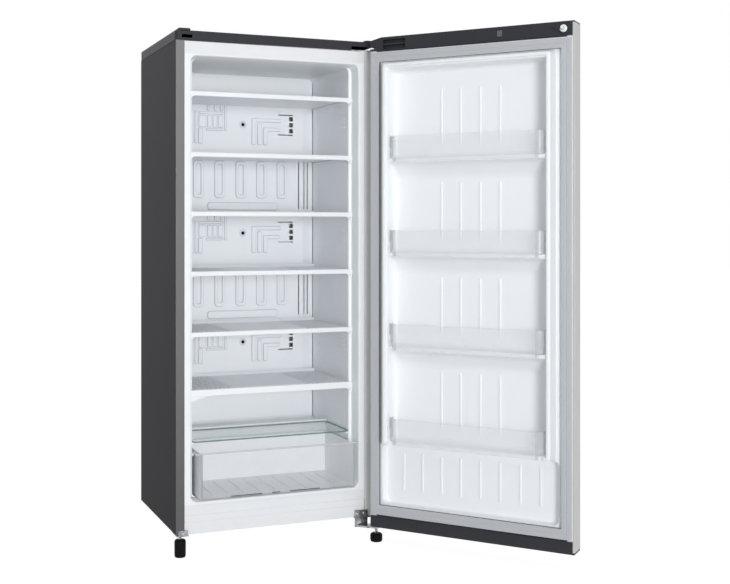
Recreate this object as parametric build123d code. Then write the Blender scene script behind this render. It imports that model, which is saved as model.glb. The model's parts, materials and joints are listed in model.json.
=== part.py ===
from build123d import *

import math
import os

os.makedirs("parts", exist_ok=True)

# Upright freezer, millimetres. +X is to the viewer's right, +Y to the back, +Z up.
# The origin is on the floor, under the middle of the plane that the door seals against.

# ---- driving dimensions -------------------------------------------------------------
width = 530.0              # cabinet, side to side
depth = 385.0              # cabinet side panels, front to back
base_z = 59.0              # underside of the cabinet above the floor
case_z = 1279.0            # top of the steel case
cover_height = 25.0        # plastic top cover
door_open = 129.8          # degrees that the door stands open
door_thickness = 53.0
door_gap = 12.0            # door shell to sealing plane
door_overhang = 3.0        # door past the cabinet on each side
door_foot, door_head = 31.1, 35.0      # heights of the plastic end caps of the door
hinge_inset = 7.0          # hinge pin to the side of the door
hinge_front = 34.0         # hinge pin in front of the sealing plane
mouth_margin = 39.0        # side of the case to the mouth of the liner
liner_back_space = 53.0    # insulation behind the liner
shelf_shares = (0.924, 0.786, 0.651, 0.515, 0.377, 0.2465)     # of the mouth's height
rack_shares = (0.765, 0.549, 0.334, 0.1166)                    # of the mouth's height
rack_height = 66.0

# ---- stock and fits -----------------------------------------------------------------
sheet = 1.0                # steel sheet
liner_wall = 2.0           # moulded liners
clear_wall = 2.5           # clear mouldings
hinge_sheet = 3.0          # hinge plates and brackets
running = 0.1              # radial play of a pin or a shaft
bush_play = 0.1            # radial play of a bush in its seat
seat = 0.2                 # gap between parts that rest beside each other
sides = 6                  # flats of the bent tubes
bend_steps = 2             # mitred steps in each of their bends

# ---- cabinet ------------------------------------------------------------------------
half = width / 2
cover_z = case_z + cover_height
opening_half = half - mouth_margin
mouth_low, mouth_high = base_z + 77.5, case_z - 36
mouth_tall = mouth_high - mouth_low
mouth_depth = 20.0
rim_half = opening_half - 4            # widened stretch that takes the shelf rims
wall_half = opening_half - 13          # inside of the liner
ledge_half = wall_half - 6             # inner edge of the ledges that carry the shelves
mouth_taper = math.degrees(math.atan((opening_half - rim_half) / mouth_depth))
rim_y, rim_end = 30.0, 37.0
liner_back = depth - liner_back_space
step_front, step_top = liner_back - 140, mouth_low + 139.5     # step over the machine bay
bay_front, bay_top = step_front + 34, step_top - 30
strip_edge = half - 22                 # steel return of the case beside the mouth
lip = 13.0                             # rear lips of the case
rail_steps = (base_z + 46, base_z + 29)

# ---- cold air duct ------------------------------------------------------------------
duct_face = liner_back - 45
bevel_face = duct_face + 10
relief = 1.5
coil_mid = (mouth_low + mouth_high) / 2
coil_half_height = 90.0
coil_low = coil_mid - coil_half_height
coil_y = liner_back - 17
fan_z, fan_y, shaft_radius = coil_mid + 240, liner_back - 22, 2.5
drain_x, drain_y, drain_radius = 40.0, coil_y, 5.0

# ---- shelves, glass and drawer ------------------------------------------------------
shelf_tops = [mouth_low + share * mouth_tall for share in shelf_shares]
shelf_half = wall_half - 1
shelf_rim, lowest_rim = 12.0, 17.0
deck_back = duct_face - 3
duct_screw_heights = [top - 56 for top in shelf_tops[0::2]]
loop_heights = [top - 57 for top in shelf_tops[1:4:2]]
glass_low = step_top + 1
glass_thick = 4.0
drawer_front, drawer_back = -22.0, step_front - 10
drawer_low, drawer_high = mouth_low + 4.5, glass_low - 17
drawer_half, drawer_box = rim_half + 0.5, wall_half - 8
runner_z = drawer_high - 10.5

# ---- door, drawn closed -------------------------------------------------------------
door_half = half + door_overhang
door_in = -door_gap
door_out = door_in - door_thickness
door_low, door_high = base_z - 17.3, cover_z + 3
skin_low, skin_high = door_low + door_foot, door_high - door_head
fill_low, fill_high = skin_low + 7.2, skin_high - 8
hinge_x, hinge_y = door_half - hinge_inset, -hinge_front
pin_radius, bush_radius, bush_flats = 3.0, 4.3, 16
pin_grip = 13.0                        # length of pin inside the door
arm_half = 5.5
arm_low_top = door_low - 3.7
corner = 6.0                           # outer corners of the door
panel_y = -30.0                        # sunk middle of the door liner
border_y = door_in + liner_wall
dyke_inner, dyke_tip, dyke_root = opening_half - 20, opening_half - 8.5, opening_half - 2.5
dyke_tip_y = 24.0
dyke_top, dyke_corner, dyke_slope = mouth_high - 4.5, 12.0, 5.0
seal_outer, seal_inner = door_half - 6, door_half - 26
seal_low, seal_high = skin_low + 6.2, skin_high - 6
seal_face = -0.4
rack_lows = [mouth_low + share * mouth_tall for share in rack_shares]
rack_front = 18.0
lug_inner, lug_y, lug_depth, lug_low = dyke_inner - 4, -4.0, 10.0, 24.0
pocket_half, pocket_low = dyke_root + 7.5, mouth_low - 32.5
lock_x, lock_z = -door_half + 27, case_z + 10.5
lock_radius, lock_flats, stem_radius = 6.5, 24, 4.0
grip_x, grip_mid, grip_wide, grip_tall = -door_half + 32, door_low + 698, 34.0, 240.0

# ---- feet and machine bay -----------------------------------------------------------
stud_radius = 4.0
left_foot_x, left_foot_y = -half + 16, 20.0
roller_x, roller_y, roller_radius, roller_flats = half - 65, depth - 40, 13.0, 24
plate_z = base_z + 1.2
compressor_x, compressor_y, compressor_radius, compressor_flats = 70.0, depth - 80, 58.0, 16
compressor_low, compressor_high = plate_z + 20, plate_z + 148
leg_reach, leg_hole = (66.0, 42.0), 4.7
drier_x, drier_y, drier_low = -120.0, depth - 35, plate_z + 36
pan_top = bay_top - 10
condenser_y = depth + 19
condenser_half = half - 60
condenser_low, condenser_high = bay_top + 54, case_z - 99
condenser_runs = 6
condenser_pitch = (condenser_high - condenser_low) / (condenser_runs - 1)
wire_half, wire_count = condenser_half - 40, 11
wire_pitch = 2 * wire_half / (wire_count - 1)
tube_radius = 2.5


# ---- helpers ------------------------------------------------------------------------
def block(x0, x1, y0, y1, z0, z1):
    """A box between two corners."""
    box = Box(x1 - x0, y1 - y0, z1 - z0)
    return Pos((x0 + x1) / 2, (y0 + y1) / 2, (z0 + z1) / 2) * box


def outline(*points):
    """A face with straight sides."""
    return make_face(Polyline(*points, close=True))


def along_x(face, x0, x1):
    """A face drawn in y and z, made solid from x0 to x1."""
    return extrude(Plane.YZ.offset(x0) * face, amount=x1 - x0)


def along_y(face, y0, y1):
    """A face drawn in x and z, made solid from y0 to y1."""
    return extrude(Plane.XZ.offset(-y0) * face, amount=y0 - y1)


def along_z(face, z0, z1):
    """A face drawn in x and y, made solid from z0 to z1."""
    return extrude(Plane.XY.offset(z0) * face, amount=z1 - z0)


def rod_x(radius, x0, x1, y, z):
    """A round bar that runs along x."""
    return along_x(Pos(y, z) * Circle(radius), x0, x1)


def rod_y(radius, y0, y1, x, z):
    """A round bar that runs along y."""
    return along_y(Pos(x, z) * Circle(radius), y0, y1)


def rod_z(radius, z0, z1, x, y):
    """A round bar that runs along z."""
    return along_z(Pos(x, y) * Circle(radius), z0, z1)


def prism_z(flats, radius, z0, z1, x, y):
    """A bar with the given number of flats that runs along z."""
    return along_z(Pos(x, y) * RegularPolygon(radius, flats), z0, z1)


def prism_y(flats, radius, y0, y1, x, z):
    """A bar with the given number of flats that runs along y."""
    return along_y(Pos(x, z) * RegularPolygon(radius, flats), y0, y1)


def round_upright(shape, radius):
    """The shape with all its upright edges rounded."""
    return fillet(shape.edges().filter_by(Axis.Z), radius)


def round_front(shape, radius):
    """The shape with its two upright front edges rounded."""
    return fillet(shape.edges().filter_by(Axis.Z).group_by(Axis.Y)[0], radius)


def both_sides(shape):
    """A shape together with its mirror image across the middle of the cabinet."""
    return [shape, shape.mirror(Plane.YZ)]


def tube(points, radius, bend):
    """A tube of flat sides along square runs, each corner turned in short mitred steps."""
    stops = []
    for edge in FilletPolyline(*points, radius=bend).edges():
        steps = 1 if edge.geom_type == GeomType.LINE else bend_steps
        stops += [edge @ (step / steps) for step in range(steps)]
    stops.append(Vector(*points[-1]))
    path = Polyline(*stops)
    start = Plane(origin=stops[0], z_dir=stops[1] - stops[0])
    section = start * Rot(0, 0, 180 / sides) * RegularPolygon(radius, sides)
    return sweep(section, path=path, transition=Transition.RIGHT)


def zigzag(half_width, y, low, pitch, runs):
    """Corners of a coil that crosses from side to side as it climbs."""
    points = []
    for run in range(runs):
        side = half_width if run % 2 else -half_width
        points += [(side, y, low + pitch * run), (-side, y, low + pitch * run)]
    return points


def group(solids):
    """Separate solids that share one node."""
    return Compound(children=[piece for shape in solids for piece in shape.solids()])


def save(name, shape):
    """Writes one node of the cabinet."""
    export_step(shape, "parts/" + name + ".step")


def save_on_door(name, shape):
    """Writes one node of the door, turned about the hinge pins to where the door stands."""
    hinge = Axis((hinge_x, hinge_y, 0), (0, 0, 1))
    save(name, shape.rotate(hinge, door_open))


# ---- cabinet shell ------------------------------------------------------------------
def cavity(grow):
    """The cold space with its tapered mouth and rear step, larger all round by grow."""
    low, high = mouth_low - grow, mouth_high + grow
    mouth = RectangleRounded(2 * (opening_half + grow), high - low, 16 + grow)
    draft = opening_half - rim_half
    space = extrude(
        Plane.XZ.offset(-sheet) * Pos(0, (low + high) / 2) * mouth,
        amount=-mouth_depth,
        taper=mouth_taper,
    )
    for side, back in ((rim_half, rim_end), (wall_half, liner_back)):
        space += block(-side - grow, side + grow, mouth_depth, back + grow, low + draft, high - draft)
    return space - block(-half, half, step_front + grow, depth, 0, step_top - grow)


def case_wrapper():
    """Folded steel case with its front returns and rear lips."""
    shell = block(-half, half, 0, depth, base_z, case_z)
    shell -= block(-half + sheet, half - sheet, sheet, depth, 0, case_z - sheet)
    shell -= block(-strip_edge, strip_edge, -sheet, 2 * sheet, 0, case_z - sheet)
    rear_lip = block(half - lip, half - sheet, depth - sheet, depth, base_z, case_z - sheet)
    return shell + both_sides(rear_lip)


def back_panel():
    """Rear steel sheet with three pressed stiffening ribs."""
    edge = half - lip - seat
    low, high = bay_top + 16, case_z - sheet - seat
    rib_half, rib_end, press = 14.0, 60.0, 2.0
    panel = block(-edge, edge, depth - sheet, depth, low, high)
    for x in (-0.4 * half, 0, 0.4 * half):
        z0, z1 = low + rib_end, high - rib_end
        panel += block(x - rib_half, x + rib_half, depth - sheet, depth + press, z0, z1)
        hollow = rib_half - sheet
        panel -= block(x - hollow, x + hollow, 0, depth + press - sheet, z0 + sheet, z1 - sheet)
    return panel


def base_sheet():
    """Folded steel floor that also forms the front and the roof of the machine bay."""
    front, back = 4.0, depth - 2
    folded = outline(
        (front, base_z), (bay_front, base_z), (bay_front, bay_top - sheet), (back, bay_top - sheet),
        (back, bay_top), (bay_front - sheet, bay_top), (bay_front - sheet, base_z + sheet),
        (front, base_z + sheet),
    )
    side = half - sheet - seat
    return along_x(folded, -side, side) - drain_hole(drain_radius + 1, step_top)


def drain_hole(radius, top):
    """Passage of the drain tube between the machine bay and the liner."""
    return prism_z(12, radius, bay_top - 5, top, drain_x, drain_y)


def foam_insulation():
    """Foam between the case and the liner."""
    side = half - sheet - seat
    fill = block(-side, side, 3.4, depth - 2.2, base_z + sheet + seat, case_z - sheet - seat)
    fill -= cavity(liner_wall + seat)
    fill -= block(-half, half, bay_front - sheet - seat, depth, 0, bay_top + seat)
    return fill - drain_hole(drain_radius + 1, step_top)


def inner_liner():
    """Moulded liner with its flange, shelf ledges, glass ledges and drawer rails."""
    side = half - sheet - 2
    flange = block(-side, side, sheet, sheet + liner_wall, rail_steps[0] + 1, case_z - 3)
    shell = cavity(liner_wall) + flange
    shell -= cavity(0)
    ribs = []
    first, root = rim_end + 5, wall_half + 1
    for top in shelf_tops:
        ribs += both_sides(block(ledge_half, root, first, deck_back, top - shelf_rim, top - 5.3))
    ribs += both_sides(block(ledge_half, root, first, step_front - 2, glass_low - 6, glass_low))
    rail_inner = ledge_half + 0.8
    ribs += both_sides(block(rail_inner, root, first, step_front - 6, runner_z - 7, runner_z))
    shell += ribs
    return shell - drain_hole(drain_radius + 0.3, step_top + 5)


def front_rail_top():
    """White steel rail over the mouth."""
    side = strip_edge - seat
    return block(-side, side, 0, sheet - 0.1, mouth_high + 4, case_z - sheet - seat)


def front_rail_low():
    """White steel rail under the mouth, pressed back in two shallow steps."""
    top, (first, second) = mouth_low - 6.5, rail_steps
    front = (0, sheet, 2 * sheet)
    back = [y + sheet - 0.1 for y in front]
    hem, hem_back = base_z - sheet, 24
    profile = outline(
        (front[0], top), (front[0], first), (front[1], first - 1), (front[1], second),
        (front[2], second - 1), (front[2], hem), (hem_back, hem), (hem_back, base_z - 0.1),
        (back[2], base_z - 0.1), (back[2], second - 0.5), (back[1], second + 0.5),
        (back[1], first - 0.5), (back[0], first + 0.5), (back[0], top),
    )
    return along_x(profile, -strip_edge + seat, strip_edge - seat)


def top_cover():
    """Hollow plastic cover with two low humps, a keeper slot and the hinge notch."""
    rim, wall = half + 1, 3.0
    body = round_upright(block(-rim, rim, -1, depth + 1, case_z, cover_z), 10)
    body = chamfer(body.faces().sort_by(Axis.Z)[-1].edges(), 2.5)
    body -= block(-rim + wall, rim - wall, 2, depth - 2, case_z - 1, cover_z - wall)
    for x in (-half / 2, 0, half / 2):
        body += block(x - 1, x + 1, 2, depth - 2, case_z + 12, cover_z - wall + 1)
    lock_hump, hinge_hump, hump_back = (-half + 8, -half + 38, 5), (half - 19, half, 4), 30
    for x0, x1, rise in (lock_hump, hinge_hump):
        hump = block(x0, x1, -0.5, hump_back, cover_z - 1, cover_z + rise)
        body += chamfer(hump.edges().filter_by(Axis.Z), 4)
    x0, x1, rise = lock_hump
    body -= block(x0 + wall, x1 - wall, 2, hump_back - wall, cover_z - wall - 1, cover_z + rise - 2.5)
    body -= block(half - 60, half + 5, -5, 50, case_z - 1, case_z + 11.5)
    return body - block(lock_x - 9, lock_x + 18, -5, 6, lock_z - 4, lock_z + 4)


# ---- hinges -------------------------------------------------------------------------
def hinge_plate_top():
    """Upper hinge: a plate on the case with an arm and a pin that points down."""
    inner, outer, back = half - 59, half - 3, 45
    plan = outline(
        (inner, back), (outer, back), (hinge_x + arm_half, 0), (hinge_x + arm_half, hinge_y),
        (hinge_x - arm_half, hinge_y), (hinge_x - arm_half, -7), (half - 27, 3), (inner, 3),
    )
    plan += Pos(hinge_x, hinge_y) * Circle(arm_half)
    plate = along_z(plan, case_z + 0.1, case_z + hinge_sheet)
    return plate + rod_z(pin_radius, case_z - pin_grip, case_z + 1, hinge_x, hinge_y)


def hinge_bracket_low():
    """Lower hinge: a bent bracket with a pin that points up and a nut for the foot."""
    inner, outer, front_outer = half - 51, half - 3, half - 15
    under_top, arm = base_z - sheet - 0.1, arm_half + 1.5
    front = block(inner, front_outer, -hinge_sheet - seat, -seat, arm_low_top - 5, base_z + 17)
    under = block(inner, outer, -hinge_sheet, 55, under_top - hinge_sheet, under_top)
    plan = outline((inner, -seat), (outer, -seat), (hinge_x + arm, hinge_y), (hinge_x - arm, hinge_y))
    plan += Pos(hinge_x, hinge_y) * Circle(arm)
    shelf_arm = along_z(plan, arm_low_top - 5, arm_low_top)
    pin = rod_z(pin_radius, arm_low_top - 1, arm_low_top + 2 + pin_grip, hinge_x, hinge_y)
    thread = prism_z(12, stud_radius + seat, 0, arm_low_top - 1.5, hinge_x, hinge_y)
    return front + under + shelf_arm + pin - thread


def screws():
    """Hexagon screws of both hinges and of the left foot bracket."""
    head = prism_z(6, 4.5, 0, 3, 0, 0)
    facing = Rot(90, 0, 0) * head
    pieces = [Pos(half - x, y, case_z + hinge_sheet) * head for x, y in ((47, 20), (29, 14), (13, 30))]
    pieces += [Pos(half - x, -hinge_sheet - seat, base_z + 7) * facing for x in (43, 24)]
    pieces.append(Pos(left_foot_x + 2, -2 - seat, base_z + 3) * facing)
    return group(pieces)


# ---- feet and rollers ---------------------------------------------------------------
def foot(x, y, radius, height, stud_top):
    """Levelling foot with a sixteen-sided skirt, for turning it by hand, on a threaded stud."""
    pad = chamfer(prism_z(16, radius, 0, height, x, y).edges().group_by(Axis.Z)[-1], 3)
    return pad + prism_z(12, stud_radius, height - 1, stud_top, x, y)


def foot_bracket_left():
    """Zinc angle that holds the nut of the left foot."""
    under_top = base_z - sheet - 0.1
    under_low = under_top - hinge_sheet
    under = block(left_foot_x - 14, left_foot_x + 16, -2, 42, under_low, under_top)
    front = block(left_foot_x - 10, left_foot_x + 14, -2 - seat, -seat, under_low, base_z + 11)
    return under + front - rod_z(stud_radius + running / 2, 0, base_z + 20, left_foot_x, left_foot_y)


def roller_brackets():
    """Two forks with axles for the rear rollers."""
    fork = block(roller_x - 11, roller_x + 11, roller_y - 11, roller_y + 11, 8, base_z - seat)
    fork -= block(roller_x - 9, roller_x + 9, roller_y - 12, roller_y + 12, 0, base_z - 2)
    section = Pos(roller_y, roller_radius) * RegularPolygon(pin_radius, 12)
    axle = along_x(section, roller_x - 11, roller_x + 11)
    return group(both_sides(fork + axle))


def roller(x):
    """One rear roller."""
    tread = Rot(0, 0, 180 / roller_flats) * RegularPolygon(roller_radius, roller_flats, major_radius=False)
    wheel = along_x(Pos(roller_y, roller_radius) * tread, x - 7, x + 7)
    return wheel - rod_x(pin_radius + running, x - 8, x + 8, roller_y, roller_radius)


# ---- cold air duct and evaporator ---------------------------------------------------
def raised(x0, x1, z0, z1):
    """A raised pad on the face of the duct panel."""
    return block(x0, x1, duct_face - relief, duct_face + 0.5, z0, z1)


def maze(z, unit):
    """Raised channel pattern around one panel screw; unit is a tenth of the duct's half width."""
    left = [
        raised(-4.7 * unit, -3.9 * unit, z + 31, z + 58), raised(-3.6 * unit, -2.7 * unit, z + 31, z + 58),
        raised(-6.8 * unit, -2.5 * unit, z + 23, z + 31), raised(-6.8 * unit, -6.1 * unit, z - 54, z + 23),
        raised(-5.5 * unit, -4.4 * unit, z - 12, z + 20), raised(-3.7 * unit, -2.5 * unit, z - 18, z + 20),
    ]
    right = [
        raised(1.2 * unit, 4.7 * unit, z + 11, z + 18), raised(1.2 * unit, 1.8 * unit, z - 54, z + 11),
        raised(2 * unit, 2.6 * unit, z - 54, z + 7), raised(2.9 * unit, 4.6 * unit, z - 14, z - 6),
        raised(2.9 * unit, 3.5 * unit, z - 54, z - 14),
    ]
    return left + right


def louvre(z, unit):
    """Slots through which one louvre blows."""
    near, far = duct_face - 10, bevel_face + 5
    inner, comb, outer = 4.9 * unit, 6.4 * unit, 7 * unit
    slots = [block(inner, outer, near, far, z + low, z + low + 3) for low in (-27, 29)]
    slots += [block(comb, outer, near, far, z + low, z + low + 12) for low in (-20, -3, 14)]
    return slots


def rear_duct_panel():
    """Panel in front of the evaporator with reliefs, louvres and side bevels."""
    outer, shoulder, flat, wall = wall_half - 2, wall_half - 9, wall_half - 35, 2
    face, bevel = duct_face, bevel_face
    plan = outline(
        (-outer, bevel), (-shoulder, bevel), (-flat, face), (flat, face), (shoulder, bevel),
        (outer, bevel), (outer, bevel + wall), (shoulder - 1, bevel + wall), (flat - 1, face + wall),
        (1 - flat, face + wall), (1 - shoulder, bevel + wall), (-outer, bevel + wall),
    )
    panel = along_z(plan, step_top + 16, mouth_high - 6)
    unit = wall_half / 10
    ring = chamfer(Rectangle(34, 102).vertices(), 9) - Rectangle(20, 86)
    for z in loop_heights:
        for step in range(5):
            x = (2.85 * step - 6) * unit
            panel += along_y(Pos(x, z) * ring, face - relief, face + 0.5)
        for x in (7.8 * unit, 8.6 * unit, 9.15 * unit):
            panel -= block(x - 1.5, x + 1.5, face - 10, bevel + 10, z - 51, z + 51)
    for z in duct_screw_heights:
        panel += maze(z, unit)
        panel -= louvre(z, unit)
        panel -= prism_y(8, 3, face - 10, bevel, 0, z)
    return panel


def duct_screws():
    """Screws that hold the duct panel."""
    pieces = []
    for z in duct_screw_heights:
        head = prism_y(12, 4.5, duct_face - 2.5, duct_face - 0.1, 0, z)
        pieces.append(head + prism_y(6, 2.2, duct_face - 1, duct_face + 14, 0, z))
    return group(pieces)


def evaporator():
    """Finned cold coil."""
    rows, fins, fin_half = 4, 7, 13
    pitch = 2 * coil_half_height / rows
    coil_half = wall_half - 41
    coil = tube(zigzag(coil_half, coil_y, coil_low + pitch / 2, pitch, rows), 4, pitch / 2 - 1)
    spread, high = coil_half - 22, coil_low + pitch * rows
    pack = block(-spread, spread, coil_y - fin_half, coil_y + fin_half, coil_low, high)
    for gap in range(fins):
        x = spread * ((2 * gap + 1) / fins - 1)
        pack -= block(x - 9, x + 9, coil_y - fin_half - 1, coil_y - 6, coil_low - 1, high + 1)
    return coil + pack


def defrost_heater():
    """Glass heater rod under the coil with its end caps."""
    z, reach = coil_low - 14, wall_half - 63
    rod = along_x(Pos(coil_y, z) * RegularPolygon(5, 12), -reach, reach)
    for x in (-reach, reach - 10):
        rod += block(x, x + 10, coil_y - 8, coil_y + 8, z - 8, z + 8)
    return rod


def drain_tray():
    """Tray under the heater with the tube that drains it into the pan."""
    top, side, deep, wall = coil_low - 26, wall_half - 37, 16, 1.5
    tray = block(-side, side, coil_y - 15, coil_y + 15, top - deep, top)
    inner = side - wall
    tray -= block(-inner, inner, coil_y - 13.5, coil_y + 13.5, top - deep + wall, top + 1)
    tray += prism_z(12, drain_radius, pan_top - 4, top - deep + 1, drain_x, drain_y)
    return tray - prism_z(12, drain_radius - 1.2, pan_top - 5, top + 1, drain_x, drain_y)


def fan_motor():
    """Motor of the cold air fan on its mounting plate."""
    plate = block(-45, 45, liner_back - 4 - seat, liner_back - seat, fan_z - 45, fan_z + 45)
    can = prism_y(20, 22, fan_y + 6, liner_back - 4, 0, fan_z)
    return plate + can + prism_y(12, shaft_radius, fan_y - 6, fan_y + 7, 0, fan_z)


def fan_blades():
    """Five-bladed rotor."""
    blade_count, pitch_angle = 5, 28
    rotor = prism_y(20, 12, fan_y - 7, fan_y + 4, 0, fan_z)
    blade = Pos(0, fan_y - 1.5, fan_z + 30) * Rot(0, 0, pitch_angle) * Box(22, 1.6, 44)
    spin = Axis((0, 0, fan_z), (0, 1, 0))
    for turn in range(blade_count):
        rotor += blade.rotate(spin, 360 / blade_count * turn)
    return rotor - rod_y(shaft_radius + running, fan_y - 8, fan_y + 5, 0, fan_z)


# ---- machine bay --------------------------------------------------------------------
def leg_places():
    """Where the legs of the compressor stand."""
    reach_x, reach_y = leg_reach
    return [(compressor_x + dx, compressor_y + dy) for dx in (-reach_x, reach_x) for dy in (-reach_y, reach_y)]


def compressor_plate():
    """Pressed plate across the rear of the cabinet."""
    side, front, back, wall = half - sheet - 1, bay_front + 12, depth - 7, 1.5
    plate = block(-side, side, front, back, plate_z, plate_z + 10)
    plate -= block(-side + wall, side - wall, front + wall, back - wall, plate_z + wall, plate_z + 11)
    for x, y in leg_places():
        plate -= prism_z(6, leg_hole, plate_z - 1, plate_z + 3, x, y)
    return plate


def compressor():
    """Welded compressor shell, a can and a lid with domed ends, on its leg plate."""
    low, high, radius, bend = compressor_low, compressor_high, compressor_radius, 22.0
    flats = compressor_flats
    seam = (low + high) / 2
    can = Pos(0, 0, low + bend) * extrude(RegularPolygon(radius, flats), high - low - 2 * bend)
    for z, turn in ((high - bend, 0), (low + bend, 180)):
        for rise, start, lean in ((0.5 * bend, radius, 15), (0.5 * bend, radius - 3, 50)):
            dome = extrude(RegularPolygon(start, flats), rise, taper=lean)
            can += Pos(0, 0, z) * Rot(turn, 0, 0) * Pos(0, 0, 0 if start == radius else rise) * dome
    can += Pos(0, 0, seam) * extrude(RegularPolygon(radius + 3, flats), 4)
    legs = block(-leg_reach[0] - 10, leg_reach[0] + 10, -leg_reach[1] - 8, leg_reach[1] + 8, low - 3, low)
    whole = Pos(compressor_x, compressor_y, 0) * (can + legs)
    for x, y in leg_places():
        whole -= prism_z(6, leg_hole, low - 4, low + 1, x, y)
    return whole


def grommets():
    """Four rubber feet of the compressor."""
    low, high = plate_z + 1.6, compressor_low - 3.1
    pieces = []
    for x, y in leg_places():
        core = prism_z(6, leg_hole - seat, plate_z - 0.5, high + 3.2, x, y)
        pieces.append(prism_z(6, 9, low, high, x, y) + core)
    return group(pieces)


def terminal_box():
    """Cover over the start relay on the side of the compressor."""
    x, low = compressor_x - compressor_radius, compressor_low + 25
    box = block(x - 26, x + 4, compressor_y - 24, compressor_y + 24, low, low + 33)
    box = chamfer(box.edges().filter_by(Axis.Y), 3)
    return box - prism_z(compressor_flats, compressor_radius + 0.3, low - 40, low + 60, compressor_x, compressor_y)


def drip_pan():
    """Open pan on top of the compressor."""
    wide, front, back, wall, deep = 76, bay_front + 26, depth - 23, 1.6, 22
    low = pan_top - deep
    outer = block(compressor_x - wide, compressor_x + wide, front, back, low, pan_top)
    inside = wide - wall
    x0, x1 = compressor_x - inside, compressor_x + inside
    inner = block(x0, x1, front + wall, back - wall, low + wall, pan_top + 1)
    pan = chamfer(outer.edges().filter_by(Axis.Z), 8) - chamfer(inner.edges().filter_by(Axis.Z), 8 - wall)
    post = block(compressor_x - 20, compressor_x + 20, 0, 30, compressor_high + seat, low + 1)
    return pan + Pos(0, compressor_y - 15, 0) * post


def condenser():
    """Tube that zigzags up the back, with the upright wires that stiffen it."""
    route = zigzag(condenser_half, condenser_y, condenser_low, condenser_pitch, condenser_runs)
    pieces = [tube(route, tube_radius, 28)]
    wire, reach = 0.9, 12
    for number in range(wire_count):
        x = number * wire_pitch - wire_half
        place = condenser_y + tube_radius + wire
        pieces.append(prism_z(4, wire, condenser_low - reach, condenser_high + reach, x, place))
    return group(pieces)


def condenser_stays():
    """Four plastic posts that hold the condenser off the back panel."""
    stay = block(-9, 9, depth + 0.1, condenser_y - tube_radius - 0.1, -6, 6)
    stay += block(-5, 5, condenser_y - 4, condenser_y + 5, tube_radius + 0.2, 5.7)
    x = wire_half - wire_pitch / 2
    pieces = []
    for run in (1, condenser_runs - 2):
        pieces += both_sides(Pos(x, 0, condenser_low + condenser_pitch * run) * stay)
    return group(pieces)


def drier():
    """Copper filter drier with necked ends."""
    radius, neck, tall, flats = 9, 12, 80, 12
    body = extrude(RegularPolygon(radius, flats), tall)
    lean = math.degrees(math.atan((radius - tube_radius) / neck))
    for z, turn in ((tall, 0), (0, 180)):
        body += Pos(0, 0, z) * Rot(turn, 0, 0) * extrude(RegularPolygon(radius, flats), neck, taper=lean)
    return Pos(drier_x, drier_y, drier_low + neck) * body


def pipes():
    """Discharge pipe, condenser return and suction pipe."""
    x, y, z = compressor_x, compressor_y, plate_z
    out = compressor_radius + 0.3
    start, low_end, high_end = -condenser_half - 0.5, condenser_low, condenser_high
    up, down = -condenser_half - 14, -condenser_half - 22
    rise, drop = z + 120, bay_top - 26
    discharge = [
        (x + out, y, rise), (x + 90, y, rise), (x + 90, condenser_y, rise),
        (up, condenser_y, rise), (up, condenser_y, low_end), (start, condenser_y, low_end),
    ]
    back = [
        (start, condenser_y, high_end), (down, condenser_y, high_end), (down, condenser_y, drop),
        (drier_x, condenser_y, drop), (drier_x, drier_y, drop), (drier_x, drier_y, drier_low + 104.5),
    ]
    suction = [(x, y + out, z + 100), (x, depth - 11, z + 100), (x, depth - 11, bay_top - 3)]
    return group([tube(discharge, tube_radius, 6), tube(back, tube_radius, 6), tube(suction, 3.5, 6)])


# ---- shelves, glass and drawer ------------------------------------------------------
def shelf(top, rim_height):
    """Moulded shelf: rim, slotted deck, rear lip and a lug under each end of the rim."""
    side, low = rim_half - 1, top - rim_height
    rim = block(-side, side, rim_y, rim_end - 1, low, top)
    rim = chamfer(rim.edges().filter_by(Axis.X).sort_by(Axis.Y)[:2], 1.5)
    front = rim_end - 3
    deck = block(-shelf_half, shelf_half, front, deck_back, top - 5, top - 2)
    slot_half, slot_gap, slot_count = 5.0, 24.0, 4
    pitch = 2 * (shelf_half - slot_gap) / slot_count
    for column in range(slot_count):
        x = (column - (slot_count - 1) / 2) * pitch
        deck -= block(x - slot_half, x + slot_half, front + slot_gap, deck_back - slot_gap, top - 6, top)
    deck += block(-shelf_half, shelf_half, deck_back - 3, deck_back, top - 5, top + 4)
    lug = outline((side, low + 1), (side, low - 10), (side - 6, low - 7), (side - 16, low + 1))
    lug = along_y(lug, rim_y + 1, rim_y + 4)
    lug -= prism_y(6, 2, 0, 2 * rim_y, side - 6.5, low - 2.8)
    return rim + deck + both_sides(lug)


def glass_shelf():
    """Toughened glass plate over the drawer."""
    low = glass_low + 0.05
    plate = block(-shelf_half, shelf_half, rim_y, step_front - 2, low, glass_low + glass_thick)
    return round_front(plate, 10)


def drawer():
    """Clear drawer: wide front, box, side runners, a top hem and a ribbed floor."""
    inside, back = drawer_front + clear_wall, drawer_back
    floor_top = drawer_low + 3 + clear_wall
    box = block(-drawer_box, drawer_box, drawer_front + 0.5, back, drawer_low + 3, drawer_high - 4)
    inner = drawer_box - clear_wall
    box -= block(-inner, inner, inside, back - clear_wall, floor_top, drawer_high)
    face = RectangleRounded(2 * drawer_half, drawer_high - drawer_low, 7)
    front = along_y(Pos(0, (drawer_low + drawer_high) / 2) * face, drawer_front, inside)
    runner = block(drawer_box - 1, drawer_box + 6.5, 4, back, runner_z + 0.1, runner_z + 2.6)
    hem = drawer_half - 4
    whole = box + front + both_sides(runner)
    whole += block(-hem, hem, inside - 0.5, inside + 8, drawer_high - 4, drawer_high - 1.5)
    for step in range(-4, 5):
        x = step * drawer_box / 5
        whole += block(x - 2, x + 2, 12, back - 22, floor_top - 1, floor_top + 1.5)
    slot_low = drawer_low + 6.4
    for x0, x1 in ((-130, -48), (-22, 0), (26, 108)):
        whole -= block(x0, x1, drawer_front - 1, inside, slot_low, slot_low + 2.4)
    return whole


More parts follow.
